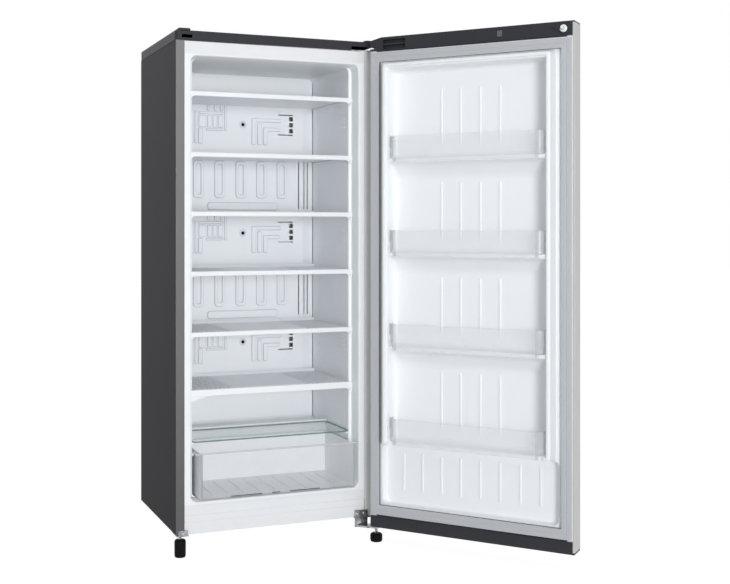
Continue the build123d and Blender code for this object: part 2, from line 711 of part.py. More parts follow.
# ---- door ---------------------------------------------------------------------------
def door_skin():
    """Steel skin wrapped round the front and both sides, with returns on the inside."""
    inner = door_half - sheet
    wrap = round_front(block(-door_half, door_half, door_out, door_in, skin_low, skin_high), corner)
    hollow = block(-inner, inner, door_out + sheet, door_in - sheet, 0, door_high)
    wrap -= round_front(hollow, corner - sheet)
    lip_edge = door_half - 18
    wrap -= block(-lip_edge, lip_edge, door_in - 2 * sheet, 0, 0, door_high)
    return wrap - grip_hole(0)


def grip_hole(grow):
    """Space that the grip cup takes in the skin and the foam."""
    face = chamfer(Rectangle(grip_wide + 2 * grow, grip_tall + 2 * grow).vertices(), 5)
    return along_y(Pos(grip_x, grip_mid) * face, door_out - 5, door_out + 24 + grow)


def grip_cup():
    """Sunk grip in the front of the door."""
    place = Pos(grip_x, grip_mid)
    rim = chamfer(Rectangle(grip_wide + 6, grip_tall + 6).vertices(), 6)
    wall = chamfer(Rectangle(grip_wide - seat, grip_tall - seat).vertices(), 5)
    hollow = chamfer(Rectangle(grip_wide - 4, grip_tall - 4).vertices(), 4)
    cup = along_y(place * rim, door_out - 1.4, door_out - 0.05)
    cup += along_y(place * wall, door_out - 1, door_out + 24)
    return cup - along_y(place * hollow, door_out - 2, door_out + 22)


def ledge(low, shrink):
    """One moulded ledge of the door liner, its outline drawn in y and z."""
    root, front, top = panel_y - 8, rack_front - 0.5, low + 9
    points = [(root, low + 24), (panel_y + 1, low + 22), (panel_y + 7, top), (front, top), (front, low)]
    if low == rack_lows[-1]:
        points.append((root, low))
    else:
        points += [(-6, low - 8), (panel_y + 2, low - 34), (root, low - 38)]
    profile = outline(*points)
    if shrink:
        profile = offset(profile, -shrink, kind=Kind.INTERSECTION)
    return along_x(profile, -dyke_inner - 4, dyke_inner + 4)


def door_form(shrink):
    """The inner form of the door: dykes and ledges over a sunk panel, drawn in by shrink."""
    top, low = dyke_top - shrink, rack_lows[-1] + shrink
    side, floor_y, face_y = seal_inner + 7.8, panel_y - shrink, border_y - shrink
    inner, tip, root = dyke_inner + shrink, dyke_tip - shrink, dyke_root - shrink
    tip_y, under = dyke_tip_y - shrink, top - 20 + 2 * shrink
    form = block(-side, side, door_out + sheet, face_y, fill_low, fill_high)
    dyke = outline((inner, panel_y), (inner + 3, tip_y), (tip, tip_y), (root, face_y - 1), (root, panel_y))
    form += both_sides(along_z(dyke, low, top))
    form -= block(-inner, inner, floor_y, 0, low, under)
    wide = pocket_half + shrink
    form -= block(-wide, wide, floor_y, 0, pocket_low - shrink, low)
    head = outline(
        (panel_y, top), (face_y - 1, top), (tip_y, top - dyke_slope), (tip_y, under + 8), (panel_y, under),
    )
    form += along_x(head, -tip, tip)
    over = outline((face_y, top), (tip_y + 7, top - dyke_slope - 1), (tip_y + 7, top + 1), (face_y, top + 1))
    form -= along_x(over, -root - 1, root + 1)
    leg = dyke_corner - 0.6 * shrink
    bevel = outline((root + 1, top - leg - 1), (root + 1, top + 1), (root - leg - 1, top + 1))
    form -= both_sides(along_y(bevel, face_y, tip_y + 1))
    for rack_low in rack_lows:
        form += ledge(rack_low, shrink)
    return form


def door_liner():
    """Moulded door liner with dykes, ledges, ribs and the lugs that hold the racks."""
    side, low, high = seal_outer + 1, skin_low + 3.2, skin_high - 3
    border = block(-side, side, door_in, border_y, low, high)
    inside = seal_inner - 2
    border -= block(-inside, inside, door_out, rack_front, low + 14, high - 19)
    shell = door_form(0) + border
    shell -= door_form(liner_wall)
    shell = shell & block(-side, side, panel_y - liner_wall, 2 * rack_front, low, high)
    pitch = dyke_inner / 4
    spans = [(pocket_low + 38, rack_lows[-1] - 34.5, 8)]
    ends = (dyke_top - 50,) + tuple(above - 39 for above in rack_lows[:-1])
    spans += [(rack_low + 42, end, 4) for rack_low, end in zip(rack_lows, ends)]
    ribs = []
    for z0, z1, count in spans:
        for number in range(count):
            x = (number - (count - 1) / 2) * pitch
            ribs.append(block(x - 1.5, x + 1.5, panel_y - 0.5, panel_y + 2, z0, z1))
    for rack_low in rack_lows:
        z = rack_low + lug_low
        ribs += both_sides(block(lug_inner, dyke_inner + 3, lug_y, lug_y + lug_depth, z, z + 14))
    return shell + ribs


def door_foam():
    """Foam inside the door."""
    side, gap = door_half - sheet - seat, sheet + seat
    fill = block(-side, side, door_out + gap, door_in - gap, fill_low, fill_high)
    fill = round_front(fill, corner - sheet)
    reach, low, high = seal_inner + 7, fill_low + 0.5, fill_high - 0.5
    form = door_form(liner_wall + 0.1)
    fill += form & block(-reach, reach, panel_y - 10, 2 * rack_front, low, high)
    fill -= block(-reach, reach, panel_y - 5, 2 * rack_front, low + 0.5, high - 0.5) - form
    fill -= prism_z(12, 6.5, fill_high - 24, door_high, hinge_x, hinge_y)
    return fill - grip_hole(2.6)


def seal_ring(inset, wide, y0, y1):
    """One layer of the door seal, inset from its outer edge and as wide as given."""
    side, low, high = seal_outer - inset, seal_low + inset, seal_high - inset
    ring = block(-side, side, y0, y1, low, high)
    return ring - block(-side + wide, side - wide, y0 - 1, y1 + 1, low + wide, high - wide)


def door_gasket():
    """Magnetic seal: foot, bellows neck and head."""
    wide = seal_outer - seal_inner
    foot_ring = seal_ring(0, wide, border_y + 0.05, -6.5)
    neck = seal_ring(3, wide - 6, -6.6, -3.9)
    return foot_ring + neck + seal_ring(0, wide, -4, seal_face)


def cap_plug(low, high):
    """The tenon by which an end cap sits inside the skin."""
    side, gap = door_half - sheet - 0.5, sheet + 0.5
    return round_front(block(-side, side, door_out + gap, door_in - gap, low, high), corner - sheet)


def bush_seat(low, high):
    """Hole in an end cap that takes a hinge bush."""
    return prism_z(bush_flats, bush_radius + bush_play, low, high, hinge_x, hinge_y)


def door_cap_top():
    """Upper end cap with the hinge slot, a moulded pocket and the lock hole."""
    cap = round_front(block(-door_half, door_half, door_out, door_in, skin_high, door_high), corner)
    cap = chamfer(cap.faces().sort_by(Axis.Z)[-1].edges(), 1.5)
    outer = door_half + 1
    shoulder = outline((outer - 37, door_high + 1), (outer, door_high + 1), (outer, door_high - 8))
    cap -= along_y(shoulder, door_out - 1, 0)
    boss = prism_z(12, 6, fill_high - 14, skin_high + 1, hinge_x, hinge_y)
    cap += [cap_plug(fill_high + 0.5, skin_high + 1), boss]
    slot_low, slot_high = case_z - 1, case_z + hinge_sheet + 1
    cap -= block(hinge_x - arm_half - 1, door_half + 5, hinge_y - 18, 0, slot_low, slot_high)
    pocket_x0, pocket_x1 = hinge_x - 91, hinge_x - 29
    cap -= block(pocket_x0, pocket_x1, door_in - 14, 0, skin_high + 3, door_high - 7)
    cap += block(pocket_x0, pocket_x1, door_in - 14.5, door_in - 2, skin_high + 14, skin_high + 18)
    cap -= bush_seat(case_z - pin_grip - 3, case_z + 2)
    return cap - prism_y(lock_flats, lock_radius + running, door_out - 5, 0, lock_x, lock_z)


def door_cap_base():
    """Lower end cap, open underneath between its ribs."""
    cap = round_front(block(-door_half, door_half, door_out, door_in, door_low, skin_low), corner)
    cap += cap_plug(skin_low - 1, fill_low - 0.5)
    wall, cells = 3.0, 4
    first, last = -door_half + wall, hinge_x - 18
    pitch = (last - first + wall) / cells
    for cell in range(cells):
        x = first + cell * pitch
        cap -= block(x, x + pitch - wall, door_out + 4, door_in - 4, door_low - 1, skin_low - 8)
    return cap - bush_seat(door_low - 1, arm_low_top + 3 + pin_grip)


def hinge_bushes():
    """Plain bushes in both end caps."""
    bush_low = door_low - 1.5
    pieces = []
    for low, high in ((case_z - pin_grip - 2, case_z - 1.2), (bush_low, bush_low + pin_grip)):
        ring = prism_z(bush_flats, bush_radius, low, high, hinge_x, hinge_y)
        pieces.append(ring - prism_z(bush_flats, pin_radius + seat, low - 1, high + 1, hinge_x, hinge_y))
    return group(pieces)


def lock_bezel():
    """White ring round the bolt on the inside of the cap."""
    ring = prism_y(16, 9, door_in + 0.05, door_in + 4, lock_x, lock_z)
    ring = chamfer(ring.edges().group_by(Axis.Y)[-1], 1)
    return ring - prism_y(16, stem_radius + seat, door_in - 1, door_in + 5, lock_x, lock_z)


def lock_bolt():
    """Key barrel with a bolt and a flat tongue that turns behind the keeper slot."""
    barrel = prism_y(lock_flats, lock_radius, door_out - 1, door_in - 0.1, lock_x, lock_z)
    barrel -= block(lock_x - 0.8, lock_x + 0.8, door_out - 2, door_out + 4, lock_z - 4, lock_z + 4)
    stem = rod_y(stem_radius, door_in - 1, 4, lock_x, lock_z)
    tongue = block(lock_x - 5, lock_x + 15, 4, 7, lock_z - 3, lock_z + 3)
    return barrel + stem + chamfer(tongue.edges().filter_by(Axis.Y), 1.8)


def rack(low):
    """Clear guard with end returns that hook over lugs in the door liner."""
    side, high = dyke_inner - 0.8, low + rack_height
    front = block(-side, side, rack_front, rack_front + clear_wall, low, high)
    front += block(-side, side, rack_front - 4, rack_front + 1, high - clear_wall, high)
    end = block(side - clear_wall, side, -14, rack_front + 1, low + 10, high)
    lug_top = low + lug_low + 14.5
    end -= block(side - 10, side + 10, lug_y - 0.5, lug_y + lug_depth + 0.5, low, lug_top)
    return front + both_sides(end)


# ---- write every node ---------------------------------------------------------------
save("case_wrapper", case_wrapper())
save("back_panel", back_panel())
save("base_sheet", base_sheet())
save("foam_insulation", foam_insulation())
save("inner_liner", inner_liner())
save("front_rail_top", front_rail_top())
save("front_rail_low", front_rail_low())
save("top_cover", top_cover())
save("hinge_plate_top", hinge_plate_top())
save("hinge_bracket_low", hinge_bracket_low())
save("cabinet_screws", screws())
save("foot_left", foot(left_foot_x, left_foot_y, 14.5, 44, base_z - 0.4))
save("foot_right", foot(hinge_x, hinge_y, 16, 22, arm_low_top - 1.6))
save("foot_bracket_left", foot_bracket_left())
save("roller_brackets", roller_brackets())
save("roller_left", roller(-roller_x))
save("roller_right", roller(roller_x))
save("rear_duct_panel", rear_duct_panel())
save("duct_screws", duct_screws())
save("evaporator", evaporator())
save("defrost_heater", defrost_heater())
save("drain_tray", drain_tray())
save("fan_motor", fan_motor())
save("fan_blades", fan_blades())
save("compressor_plate", compressor_plate())
save("compressor", compressor())
save("compressor_grommets", grommets())
save("terminal_box", terminal_box())
save("drip_pan", drip_pan())
save("condenser", condenser())
save("condenser_stays", condenser_stays())
save("filter_drier", drier())
save("refrigerant_pipes", pipes())
for number, top in enumerate(shelf_tops, 1):
    save(f"shelf_{number}", shelf(top, lowest_rim if number == len(shelf_tops) else shelf_rim))
save("glass_shelf", glass_shelf())
save("drawer", drawer())

save_on_door("door_skin", door_skin())
save_on_door("door_foam", door_foam())
save_on_door("door_liner", door_liner())
save_on_door("door_gasket", door_gasket())
save_on_door("door_cap_top", door_cap_top())
save_on_door("door_cap_base", door_cap_base())
save_on_door("hinge_bushes", hinge_bushes())
save_on_door("lock_bezel", lock_bezel())
save_on_door("lock_bolt", lock_bolt())
save_on_door("grip_cup", grip_cup())
for number, low in enumerate(rack_lows, 1):
    save_on_door(f"rack_{number}", rack(low))
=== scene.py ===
"""Upright freezer with its door open: finishes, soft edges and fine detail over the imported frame.

Shapes are drawn in millimetres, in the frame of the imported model, and pieces are scaled to metres when
they are made. What rides on the door is drawn with the door closed and then turned about the hinge.
"""

import json
import logging
import math
from dataclasses import dataclass
from enum import Enum
from typing import Any, Callable, Sequence

import bmesh
import bpy
from bmesh.types import BMFace, BMVert
from mathutils import Matrix, Vector
from mathutils.geometry import delaunay_2d_cdt

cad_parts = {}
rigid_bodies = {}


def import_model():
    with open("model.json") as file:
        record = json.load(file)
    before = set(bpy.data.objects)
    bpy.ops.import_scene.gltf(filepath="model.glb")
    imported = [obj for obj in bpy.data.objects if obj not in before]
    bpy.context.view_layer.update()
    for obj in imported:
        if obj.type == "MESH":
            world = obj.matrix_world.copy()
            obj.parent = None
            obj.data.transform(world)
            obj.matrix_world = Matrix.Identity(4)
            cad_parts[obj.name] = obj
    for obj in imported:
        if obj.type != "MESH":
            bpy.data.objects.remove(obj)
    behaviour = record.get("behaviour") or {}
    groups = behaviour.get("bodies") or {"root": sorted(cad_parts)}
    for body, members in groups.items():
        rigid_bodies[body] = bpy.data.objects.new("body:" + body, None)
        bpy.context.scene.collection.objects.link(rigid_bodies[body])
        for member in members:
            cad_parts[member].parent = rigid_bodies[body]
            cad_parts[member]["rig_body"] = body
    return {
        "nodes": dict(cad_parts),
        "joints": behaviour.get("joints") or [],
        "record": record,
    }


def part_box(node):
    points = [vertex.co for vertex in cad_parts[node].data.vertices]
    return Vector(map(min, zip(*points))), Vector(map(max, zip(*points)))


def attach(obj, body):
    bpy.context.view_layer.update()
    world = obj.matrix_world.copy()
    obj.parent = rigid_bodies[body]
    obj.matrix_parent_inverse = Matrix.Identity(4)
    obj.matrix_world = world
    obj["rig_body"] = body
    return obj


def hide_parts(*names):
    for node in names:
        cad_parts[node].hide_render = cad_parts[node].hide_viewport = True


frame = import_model()
log = logging.getLogger("freezer")

Point2 = tuple[float, float]
Point3 = tuple[float, float, float]
Outline = list[Point2]
Colour = tuple[float, float, float]
METRES = 0.001
SCREW_LEVELS = (1102.9, 800.8, 497.7)
TURN = 2 * math.pi
QUARTER = math.pi / 2
MERGED = 1e-4


# ---- shader kit ------------------------------------------------------------------------
class Wire:
    """One value in a material's nodes; arithmetic on it adds Math nodes."""

    def __init__(self, board: "Board", socket: bpy.types.NodeSocket) -> None:
        """Keeps the board that the socket belongs to, and the socket."""
        self.board, self.socket = board, socket

    def math(self, operation: str, *values: Any) -> "Wire":
        """Result of a Math node fed with the given values."""
        return self.board.node("ShaderNodeMath", {"operation": operation}, dict(enumerate(values)))

    def __add__(self, other: Any) -> "Wire":
        """Sum of both."""
        return self.math("ADD", self, other)

    def __sub__(self, other: Any) -> "Wire":
        """This less the other."""
        return self.math("SUBTRACT", self, other)

    def __rsub__(self, other: Any) -> "Wire":
        """The other less this."""
        return self.math("SUBTRACT", other, self)

    def __mul__(self, other: Any) -> "Wire":
        """Product of both."""
        return self.math("MULTIPLY", self, other)

    def __truediv__(self, other: Any) -> "Wire":
        """This divided by the other."""
        return self.math("DIVIDE", self, other)

    def __rtruediv__(self, other: Any) -> "Wire":
        """The other divided by this."""
        return self.math("DIVIDE", other, self)

    __radd__, __rmul__ = __add__, __mul__

    def clamped(self) -> "Wire":
        """This value held between 0 and 1."""
        return self.board.node("ShaderNodeClamp", {}, {"Value": self})


class Board:
    """The node tree of one material or world."""

    def __init__(self, tree: bpy.types.NodeTree) -> None:
        """Keeps the tree to work in."""
        self.tree = tree

    def node(self, kind: str, settings: dict[str, Any], sockets: dict[Any, Any], output: Any = 0) -> Wire:
        """Adds one node.

        Args:
            kind: the node's Blender type.
            settings: its properties, set first.
            sockets: a value or a Wire for each input, by name or number.
            output: the output to hand on, by name or number.

        Returns:
            The chosen output.
        """
        made = self.tree.nodes.new(kind)
        for key, value in settings.items():
            setattr(made, key, value)
        for key, value in sockets.items():
            self.feed(made.inputs[key], value)
        return Wire(self, made.outputs[output])

    def feed(self, socket: bpy.types.NodeSocket, value: Any) -> None:
        """Links a Wire to a socket, or sets the socket to a plain value.

        Args:
            socket: the input to feed.
            value: a Wire, or a plain value.
        """
        if isinstance(value, Wire):
            self.tree.links.new(value.socket, socket)
        else:
            socket.default_value = value

    def set(self, **values: Any) -> None:
        """Feeds the Principled shader's own sockets; an underscore stands for a space."""
        surface = self.tree.nodes["Principled BSDF"]
        for key, value in values.items():
            self.feed(surface.inputs[key.replace("_", " ")], value)

    def place(self, stretch: Point3 = (1, 1, 1)) -> Wire:
        """Object coordinates in metres, stretched along each axis."""
        at = self.node("ShaderNodeTexCoord", {}, {}, "Object")
        return self.node("ShaderNodeVectorMath", {"operation": "MULTIPLY"}, {0: at, 1: stretch})

    def along(self, axis: str) -> Wire:
        """One object coordinate in metres."""
        return self.node("ShaderNodeSeparateXYZ", {}, {0: self.place()}, axis)

    def noise(self, scale: float, detail: float = 2, stretch: Point3 = (1, 1, 1)) -> Wire:
        """Smooth noise from 0 to 1."""
        sockets = {"Vector": self.place(stretch), "Scale": scale, "Detail": detail}
        return self.node("ShaderNodeTexNoise", {}, sockets)

    def cells(self, scale: float, output: str = "Distance") -> Wire:
        """Voronoi cells: the distance to their centres, or a colour for each."""
        return self.node("ShaderNodeTexVoronoi", {}, {"Vector": self.place(), "Scale": scale}, output)

    def mix(self, first: Any, second: Any, share: Any) -> Wire:
        """Colour between two, second where share is 1."""
        return self.node("ShaderNodeMix", {"data_type": "RGBA"}, {0: share, 6: first, 7: second}, 2)

    def seen(self) -> Wire:
        """1 for the rays that should meet a plain white background.

        Returns:
            A Wire that is 0 for every other ray.
        """
        names = ("Is Camera Ray", "Is Glossy Ray", "Is Transmission Ray")
        rays = [self.node("ShaderNodeLightPath", {}, {}, name) for name in names]
        return (rays[0] + rays[1] + rays[2]).clamped()

    def bump(self, height: Wire, depth: float) -> None:
        """Feeds the shader's normal with a relief of the given depth in metres."""
        self.set(Normal=self.node("ShaderNodeBump", {}, {"Height": height, "Distance": depth}))


def opaque(colour: Colour) -> tuple[float, float, float, float]:
    """A colour with full alpha."""
    return (*colour, 1.0)


# ---- finishes --------------------------------------------------------------------------
@dataclass(frozen=True)
class Finish:
    """A surface: its colour, its second tone, how rough it is, and the size of its grain."""

    name: str
    colour: Colour
    tone: Colour
    roughness: float
    metallic: float = 0.0
    coat: float = 0.0
    grain: float = 900.0
    depth: float = 0.00002
    gloss: float = 0.5

    def material(self) -> bpy.types.Material:
        """Builds this finish's material.

        Returns:
            The material.
        """
        made = bpy.data.materials.new(self.name)
        made.use_nodes = True
        board = Board(made.node_tree)
        board.set(Metallic=self.metallic, Coat_Weight=self.coat, Coat_Roughness=0.08)
        board.set(Specular_IOR_Level=self.gloss)
        self.dress(board)
        return made

    def tones(self, share: Any) -> tuple[Any, ...]:
        """Arguments that mix this finish's two tones by share."""
        return opaque(self.colour), opaque(self.tone), share

    def dress(self, board: Board) -> None:
        """Feeds the shader: a slow drift between the two tones over a fine grain.

        Args:
            board: the material's nodes.
        """
        drift = board.noise(5, 3)
        fine = board.noise(self.grain, 2)
        board.set(Base_Color=board.mix(*self.tones(drift)))
        board.set(Roughness=self.roughness + 0.06 * (drift - 0.5) + 0.05 * (fine - 0.5))
        board.bump(fine, self.depth)


@dataclass(frozen=True)
class Pebbled(Finish):
    """Moulded plastic or powder paint with a leather-like grain of small cells."""

    def dress(self, board: Board) -> None:
        """Adds cells under the fine noise.

        Args:
            board: the material's nodes.
        """
        drift, cell = board.noise(7, 3), board.cells(self.grain)
        fine = board.noise(self.grain * 3, 2)
        board.set(Base_Color=board.mix(*self.tones((drift * 0.7 + cell * 0.4).clamped())))
        board.set(Roughness=self.roughness + 0.12 * (cell - 0.4) + 0.04 * (drift - 0.5))
        board.bump(cell + fine * 0.4, self.depth)


@dataclass(frozen=True)
class HeightShaded(Pebbled):
    """Powder paint that takes its lighter second tone towards the top: painted light and shade by height."""

    tall: float = 1.3

    def dress(self, board: Board) -> None:
        """Mixes the tones by height under the leather grain: painted shade low down, painted light towards
        the top.

        Args:
            board: the material's nodes.
        """
        super().dress(board)
        drift, height = board.noise(7, 3), board.along("Z") / self.tall
        # painted light and shade: lighter towards the top, darker towards the floor
        board.set(Base_Color=board.mix(*self.tones((height + 0.25 * (drift - 0.5)).clamped())))


@dataclass(frozen=True)
class Spangled(Finish):
    """Galvanised sheet with its crystal flowers."""

    def dress(self, board: Board) -> None:
        """Gives each crystal its own grey and gloss.

        Args:
            board: the material's nodes.
        """
        flower = board.node("ShaderNodeSeparateColor", {}, {0: board.cells(self.grain, "Color")})
        smear = board.noise(14, 4, (1, 1, 0.2))
        board.set(Base_Color=board.mix(*self.tones(flower * 0.6 + smear * 0.4)))
        board.set(Roughness=self.roughness + 0.16 * (flower - 0.5))
        board.bump(flower + board.noise(900, 2), self.depth)


@dataclass(frozen=True)
class Drawn(Finish):
    """Metal with fine streaks along one axis, as rolling or drawing leaves them."""

    stretch: Point3 = (1, 1, 0.04)

    def dress(self, board: Board) -> None:
        """Stretches the noise into streaks.

        Args:
            board: the material's nodes.
        """
        streak = board.noise(self.grain, 3, self.stretch)
        drift = board.noise(9, 3)
        board.set(Base_Color=board.mix(*self.tones(streak * 0.6 + drift * 0.4)))
        board.set(Roughness=self.roughness + 0.14 * (streak - 0.5))
        board.bump(streak, self.depth)


@dataclass(frozen=True)
class Clear(Finish):
    """Clear plastic or glass: seen through face on, whiter towards grazing angles as painted sheen."""

    body: float = 0.12
    edge: float = 0.6

    def dress(self, board: Board) -> None:
        """Lets the alpha follow the angle at which the surface is met, with a faint haze.

        Args:
            board: the material's nodes.
        """
        facing = board.node("ShaderNodeLayerWeight", {}, {"Blend": 0.35}, "Facing")
        haze = board.noise(30, 3)
        board.set(Base_Color=board.mix(*self.tones(facing)))
        # alpha rising towards grazing angles shows more of the white colour there: painted sheen
        board.set(Alpha=(self.body + self.edge * facing * facing + 0.05 * (haze - 0.5)).clamped())
        board.set(Roughness=self.roughness + 0.04 * (haze - 0.5))
        board.bump(board.noise(60, 2), self.depth)


@dataclass(frozen=True)
class ReturnStripPaintedLight(Finish):
    """Glossy painted return of the case, with painted light: darker on the left, pale beside the door as a
    painted reflection of the open door, darker low down as painted shade.
    """

    left: float = 0.17
    right: float = 0.92
    reach: float = 0.2
    tall: float = 1.3
    brightest: Colour = (1.0, 1.0, 1.04)

    def dress(self, board: Board) -> None:
        """Ramps the grey from side to side and from the floor up: painted reflection of the door on the
        right, painted shade towards the floor on the left.

        Args:
            board: the material's nodes.
        """
        fine, drift = board.noise(self.grain, 2), board.noise(4, 3)
        share = (board.along("X") / self.reach + 0.5).clamped()
        height = (board.along("Z") / self.tall).clamped()
        # painted shade: the left strip grows darker towards the floor; the right strip's pale grey is a
        # painted reflection of the door
        shade = (self.left * (0.35 + 0.85 * height)) * (1 - share)
        grey = shade + self.right * share + 0.02 * (drift - 0.5)
        tint = board.mix(opaque((0, 0, 0)), opaque(self.brightest), grey)
        board.set(Base_Color=tint, Roughness=self.roughness + 0.05 * (drift - 0.5))
        board.bump(fine, self.depth)


class Slot(Enum):
    """The record's material slots."""

    CASE_STEEL = "case_steel"
    WHITE_STEEL = "white_steel"
    SILVER_SKIN = "silver_skin"
    ZINC_STEEL = "zinc_steel"
    GALVANISED = "galvanised"
    WHITE_PLASTIC = "white_plastic"
    CHARCOAL_PLASTIC = "charcoal_plastic"
    BLACK_PLASTIC = "black_plastic"
    SEAL_RUBBER = "seal_rubber"
    BLACK_RUBBER = "black_rubber"
    FOAM = "foam"
    SHELF_GLASS = "shelf_glass"
    CLEAR_PLASTIC = "clear_plastic"
    BLACK_IRON = "black_iron"
    COIL_ALUMINIUM = "coil_aluminium"
    BLACK_STEEL = "black_steel"
    COPPER = "copper"
    WHITE_POLYMER = "white_polymer"


FINISHES: dict[Slot, Finish] = {
    # case steel: painted shade by height, darker towards the floor
    Slot.CASE_STEEL: HeightShaded(
        "charcoal_paint_height_shaded", (0.018, 0.0175, 0.021), (0.072, 0.070, 0.080), 0.5, grain=1400, gloss=0.03
    ),
    Slot.WHITE_STEEL: Finish("white_enamel", (0.86, 0.875, 0.90), (0.83, 0.85, 0.88), 0.28, coat=0.3),
    Slot.SILVER_SKIN: Drawn("silver_paint", (0.57, 0.57, 0.555), (0.51, 0.51, 0.495), 0.38, 0.35, grain=500),
    Slot.ZINC_STEEL: Spangled("zinc_plate", (0.62, 0.63, 0.65), (0.05, 0.053, 0.058), 0.24, 1.0, grain=150),
    Slot.GALVANISED: Spangled(
        "galvanised_sheet", (0.52, 0.54, 0.55), (0.36, 0.38, 0.40), 0.42, 0.9, grain=90
    ),
    Slot.WHITE_PLASTIC: Finish("white_moulding", (0.925, 0.95, 0.976), (0.91, 0.94, 0.97), 0.4, coat=0.1),
    Slot.CHARCOAL_PLASTIC: Pebbled(
        "charcoal_moulding", (0.028, 0.029, 0.036), (0.038, 0.039, 0.046), 0.45, gloss=0.18
    ),
    Slot.BLACK_PLASTIC: Pebbled(
        "black_moulding", (0.007, 0.007, 0.008), (0.012, 0.012, 0.013), 0.35, gloss=0.03
    ),
    Slot.SEAL_RUBBER: Finish("seal_vinyl", (0.53, 0.55, 0.585), (0.49, 0.51, 0.545), 0.55, grain=1500),
    Slot.BLACK_RUBBER: Pebbled(
        "black_rubber", (0.005, 0.005, 0.005), (0.010, 0.010, 0.010), 0.4, grain=1800, gloss=0.01
    ),
    Slot.FOAM: Pebbled("cream_foam", (0.80, 0.74, 0.52), (0.70, 0.62, 0.40), 0.9, grain=500, depth=0.0004),
    Slot.SHELF_GLASS: Clear("shelf_glass", (0.88, 0.95, 0.93), (0.62, 0.80, 0.75), 0.05, body=0.06, edge=0.3),
    Slot.CLEAR_PLASTIC: Clear(
        "clear_moulding", (0.90, 0.92, 0.95), (0.78, 0.82, 0.86), 0.12, body=0.14, edge=0.6
    ),
    Slot.BLACK_IRON: Pebbled("black_shell", (0.012, 0.012, 0.012), (0.022, 0.022, 0.022), 0.3, grain=600),
    Slot.COIL_ALUMINIUM: Drawn("bare_aluminium", (0.74, 0.75, 0.76), (0.6, 0.61, 0.62), 0.35, 1.0, grain=300),
    Slot.BLACK_STEEL: Finish("black_paint", (0.014, 0.014, 0.015), (0.026, 0.026, 0.027), 0.38, grain=1200),
    Slot.COPPER: Drawn("copper_tube", (0.66, 0.32, 0.19), (0.45, 0.20, 0.12), 0.32, 1.0, grain=160),
    Slot.WHITE_POLYMER: Finish("bearing_plastic", (0.80, 0.80, 0.79), (0.72, 0.72, 0.70), 0.4),
}
SECOND_FINISHES: tuple[Finish, ...] = (
    # front return: painted reflection of the door on the right, painted shade low down on the left
    ReturnStripPaintedLight("front_return_painted_reflection", (0.2, 0.2, 0.21), (0.25, 0.25, 0.26), 0.22, coat=0.6),
    Finish("glass_edge", (0.10, 0.19, 0.18), (0.17, 0.28, 0.27), 0.08, coat=0.5, grain=200),
    Drawn("bright_stud", (0.72, 0.73, 0.74), (0.55, 0.56, 0.58), 0.2, 1.0, grain=300),
    Clear("drawer_clear", (0.99, 0.99, 1.0), (0.93, 0.95, 0.97), 0.1, body=0.02, edge=0.06),
    Clear("drawer_milky", (0.955, 0.975, 1.0), (0.93, 0.955, 0.985), 0.25, body=0.9, edge=0.1),
    # painted shadow in the drawer's slots, also the own grey of the door cap's tab
    Finish("slot_painted_shadow_and_tab_grey", (0.08, 0.085, 0.095), (0.12, 0.125, 0.14), 0.5),
    # painted shadow along the inner side of the door seal
    Finish("seal_painted_shadow", (0.17, 0.175, 0.20), (0.22, 0.225, 0.25), 0.6, grain=1500),
    Clear("rack_end", (0.70, 0.73, 0.77), (0.58, 0.61, 0.66), 0.14, body=0.3, edge=0.4),
    # painted shade on the side walls of the duct panel's reliefs
    Finish("relief_painted_shade", (0.70, 0.73, 0.765), (0.67, 0.70, 0.74), 0.45),
)


class Palette:
    """Every material, built once."""

    def __init__(self) -> None:
        """Builds a material for each slot, and for each second finish under its name."""
        self.known: dict[Slot | str, bpy.types.Material] = {
            **{slot: finish.material() for slot, finish in FINISHES.items()},
            **{finish.name: finish.material() for finish in SECOND_FINISHES},
        }

    def dress_frame(self) -> None:
        """Gives every CAD node the finish of its slot in the record."""
        for row in frame["record"]["subparts"]:
            materials = frame["nodes"][row["node"]].data.materials
            materials.clear()
            materials.append(self.known[Slot(row["material_slot"])])


# ---- outlines --------------------------------------------------------------------------
def rounded(points: Sequence[Point2], radius: float, steps: int = 5) -> Outline:
    """Rounds every corner of a polygon.

    Args:
        points: its corners in order.
        radius: of the rounding, less where a side is too short for it.
        steps: how many straight pieces each corner gets.

    Returns:
        The outline, with steps + 1 points for each corner.
    """
    made: Outline = []
    for number, point in enumerate(points):
        corner = Vector(point)
        before = Vector(points[number - 1]) - corner
        after = Vector(points[(number + 1) % len(points)]) - corner
        half = before.angle(after) / 2
        run = min(radius / math.tan(half), 0.49 * before.length, 0.49 * after.length)
        centre = corner + (before.normalized() + after.normalized()).normalized() * run / math.cos(half)
        first = corner + before.normalized() * run - centre
        last = corner + after.normalized() * run - centre
        start = math.atan2(first.y, first.x)
        turn = (math.atan2(last.y, last.x) - start + math.pi) % TURN - math.pi
        for step in range(steps + 1):
            angle = start + turn * step / steps
            across, up = first.length * math.cos(angle), first.length * math.sin(angle)
            made.append((centre.x + across, centre.y + up))
    return made


def rectangle(x0: float, x1: float, z0: float, z1: float, radius: float = 0, steps: int = 5) -> Outline:
    """A rectangle, anticlockwise, with rounded corners where a radius is given."""
    points = [(x0, z0), (x1, z0), (x1, z1), (x0, z1)]
    return rounded(points, radius, steps) if radius else points


def full_turn(count: int) -> list[float]:
    """Angles that share a full turn evenly."""
    return [TURN * number / count for number in range(count)]


def quarter_turn(steps: int) -> list[float]:
    """Angles from 0 to a quarter turn."""
    return [QUARTER * step / steps for step in range(steps + 1)]


def circle(radius: float, x: float = 0, z: float = 0, count: int = 32) -> Outline:
    """A circle, anticlockwise."""
    return [(x + radius * math.cos(turn), z + radius * math.sin(turn)) for turn in full_turn(count)]


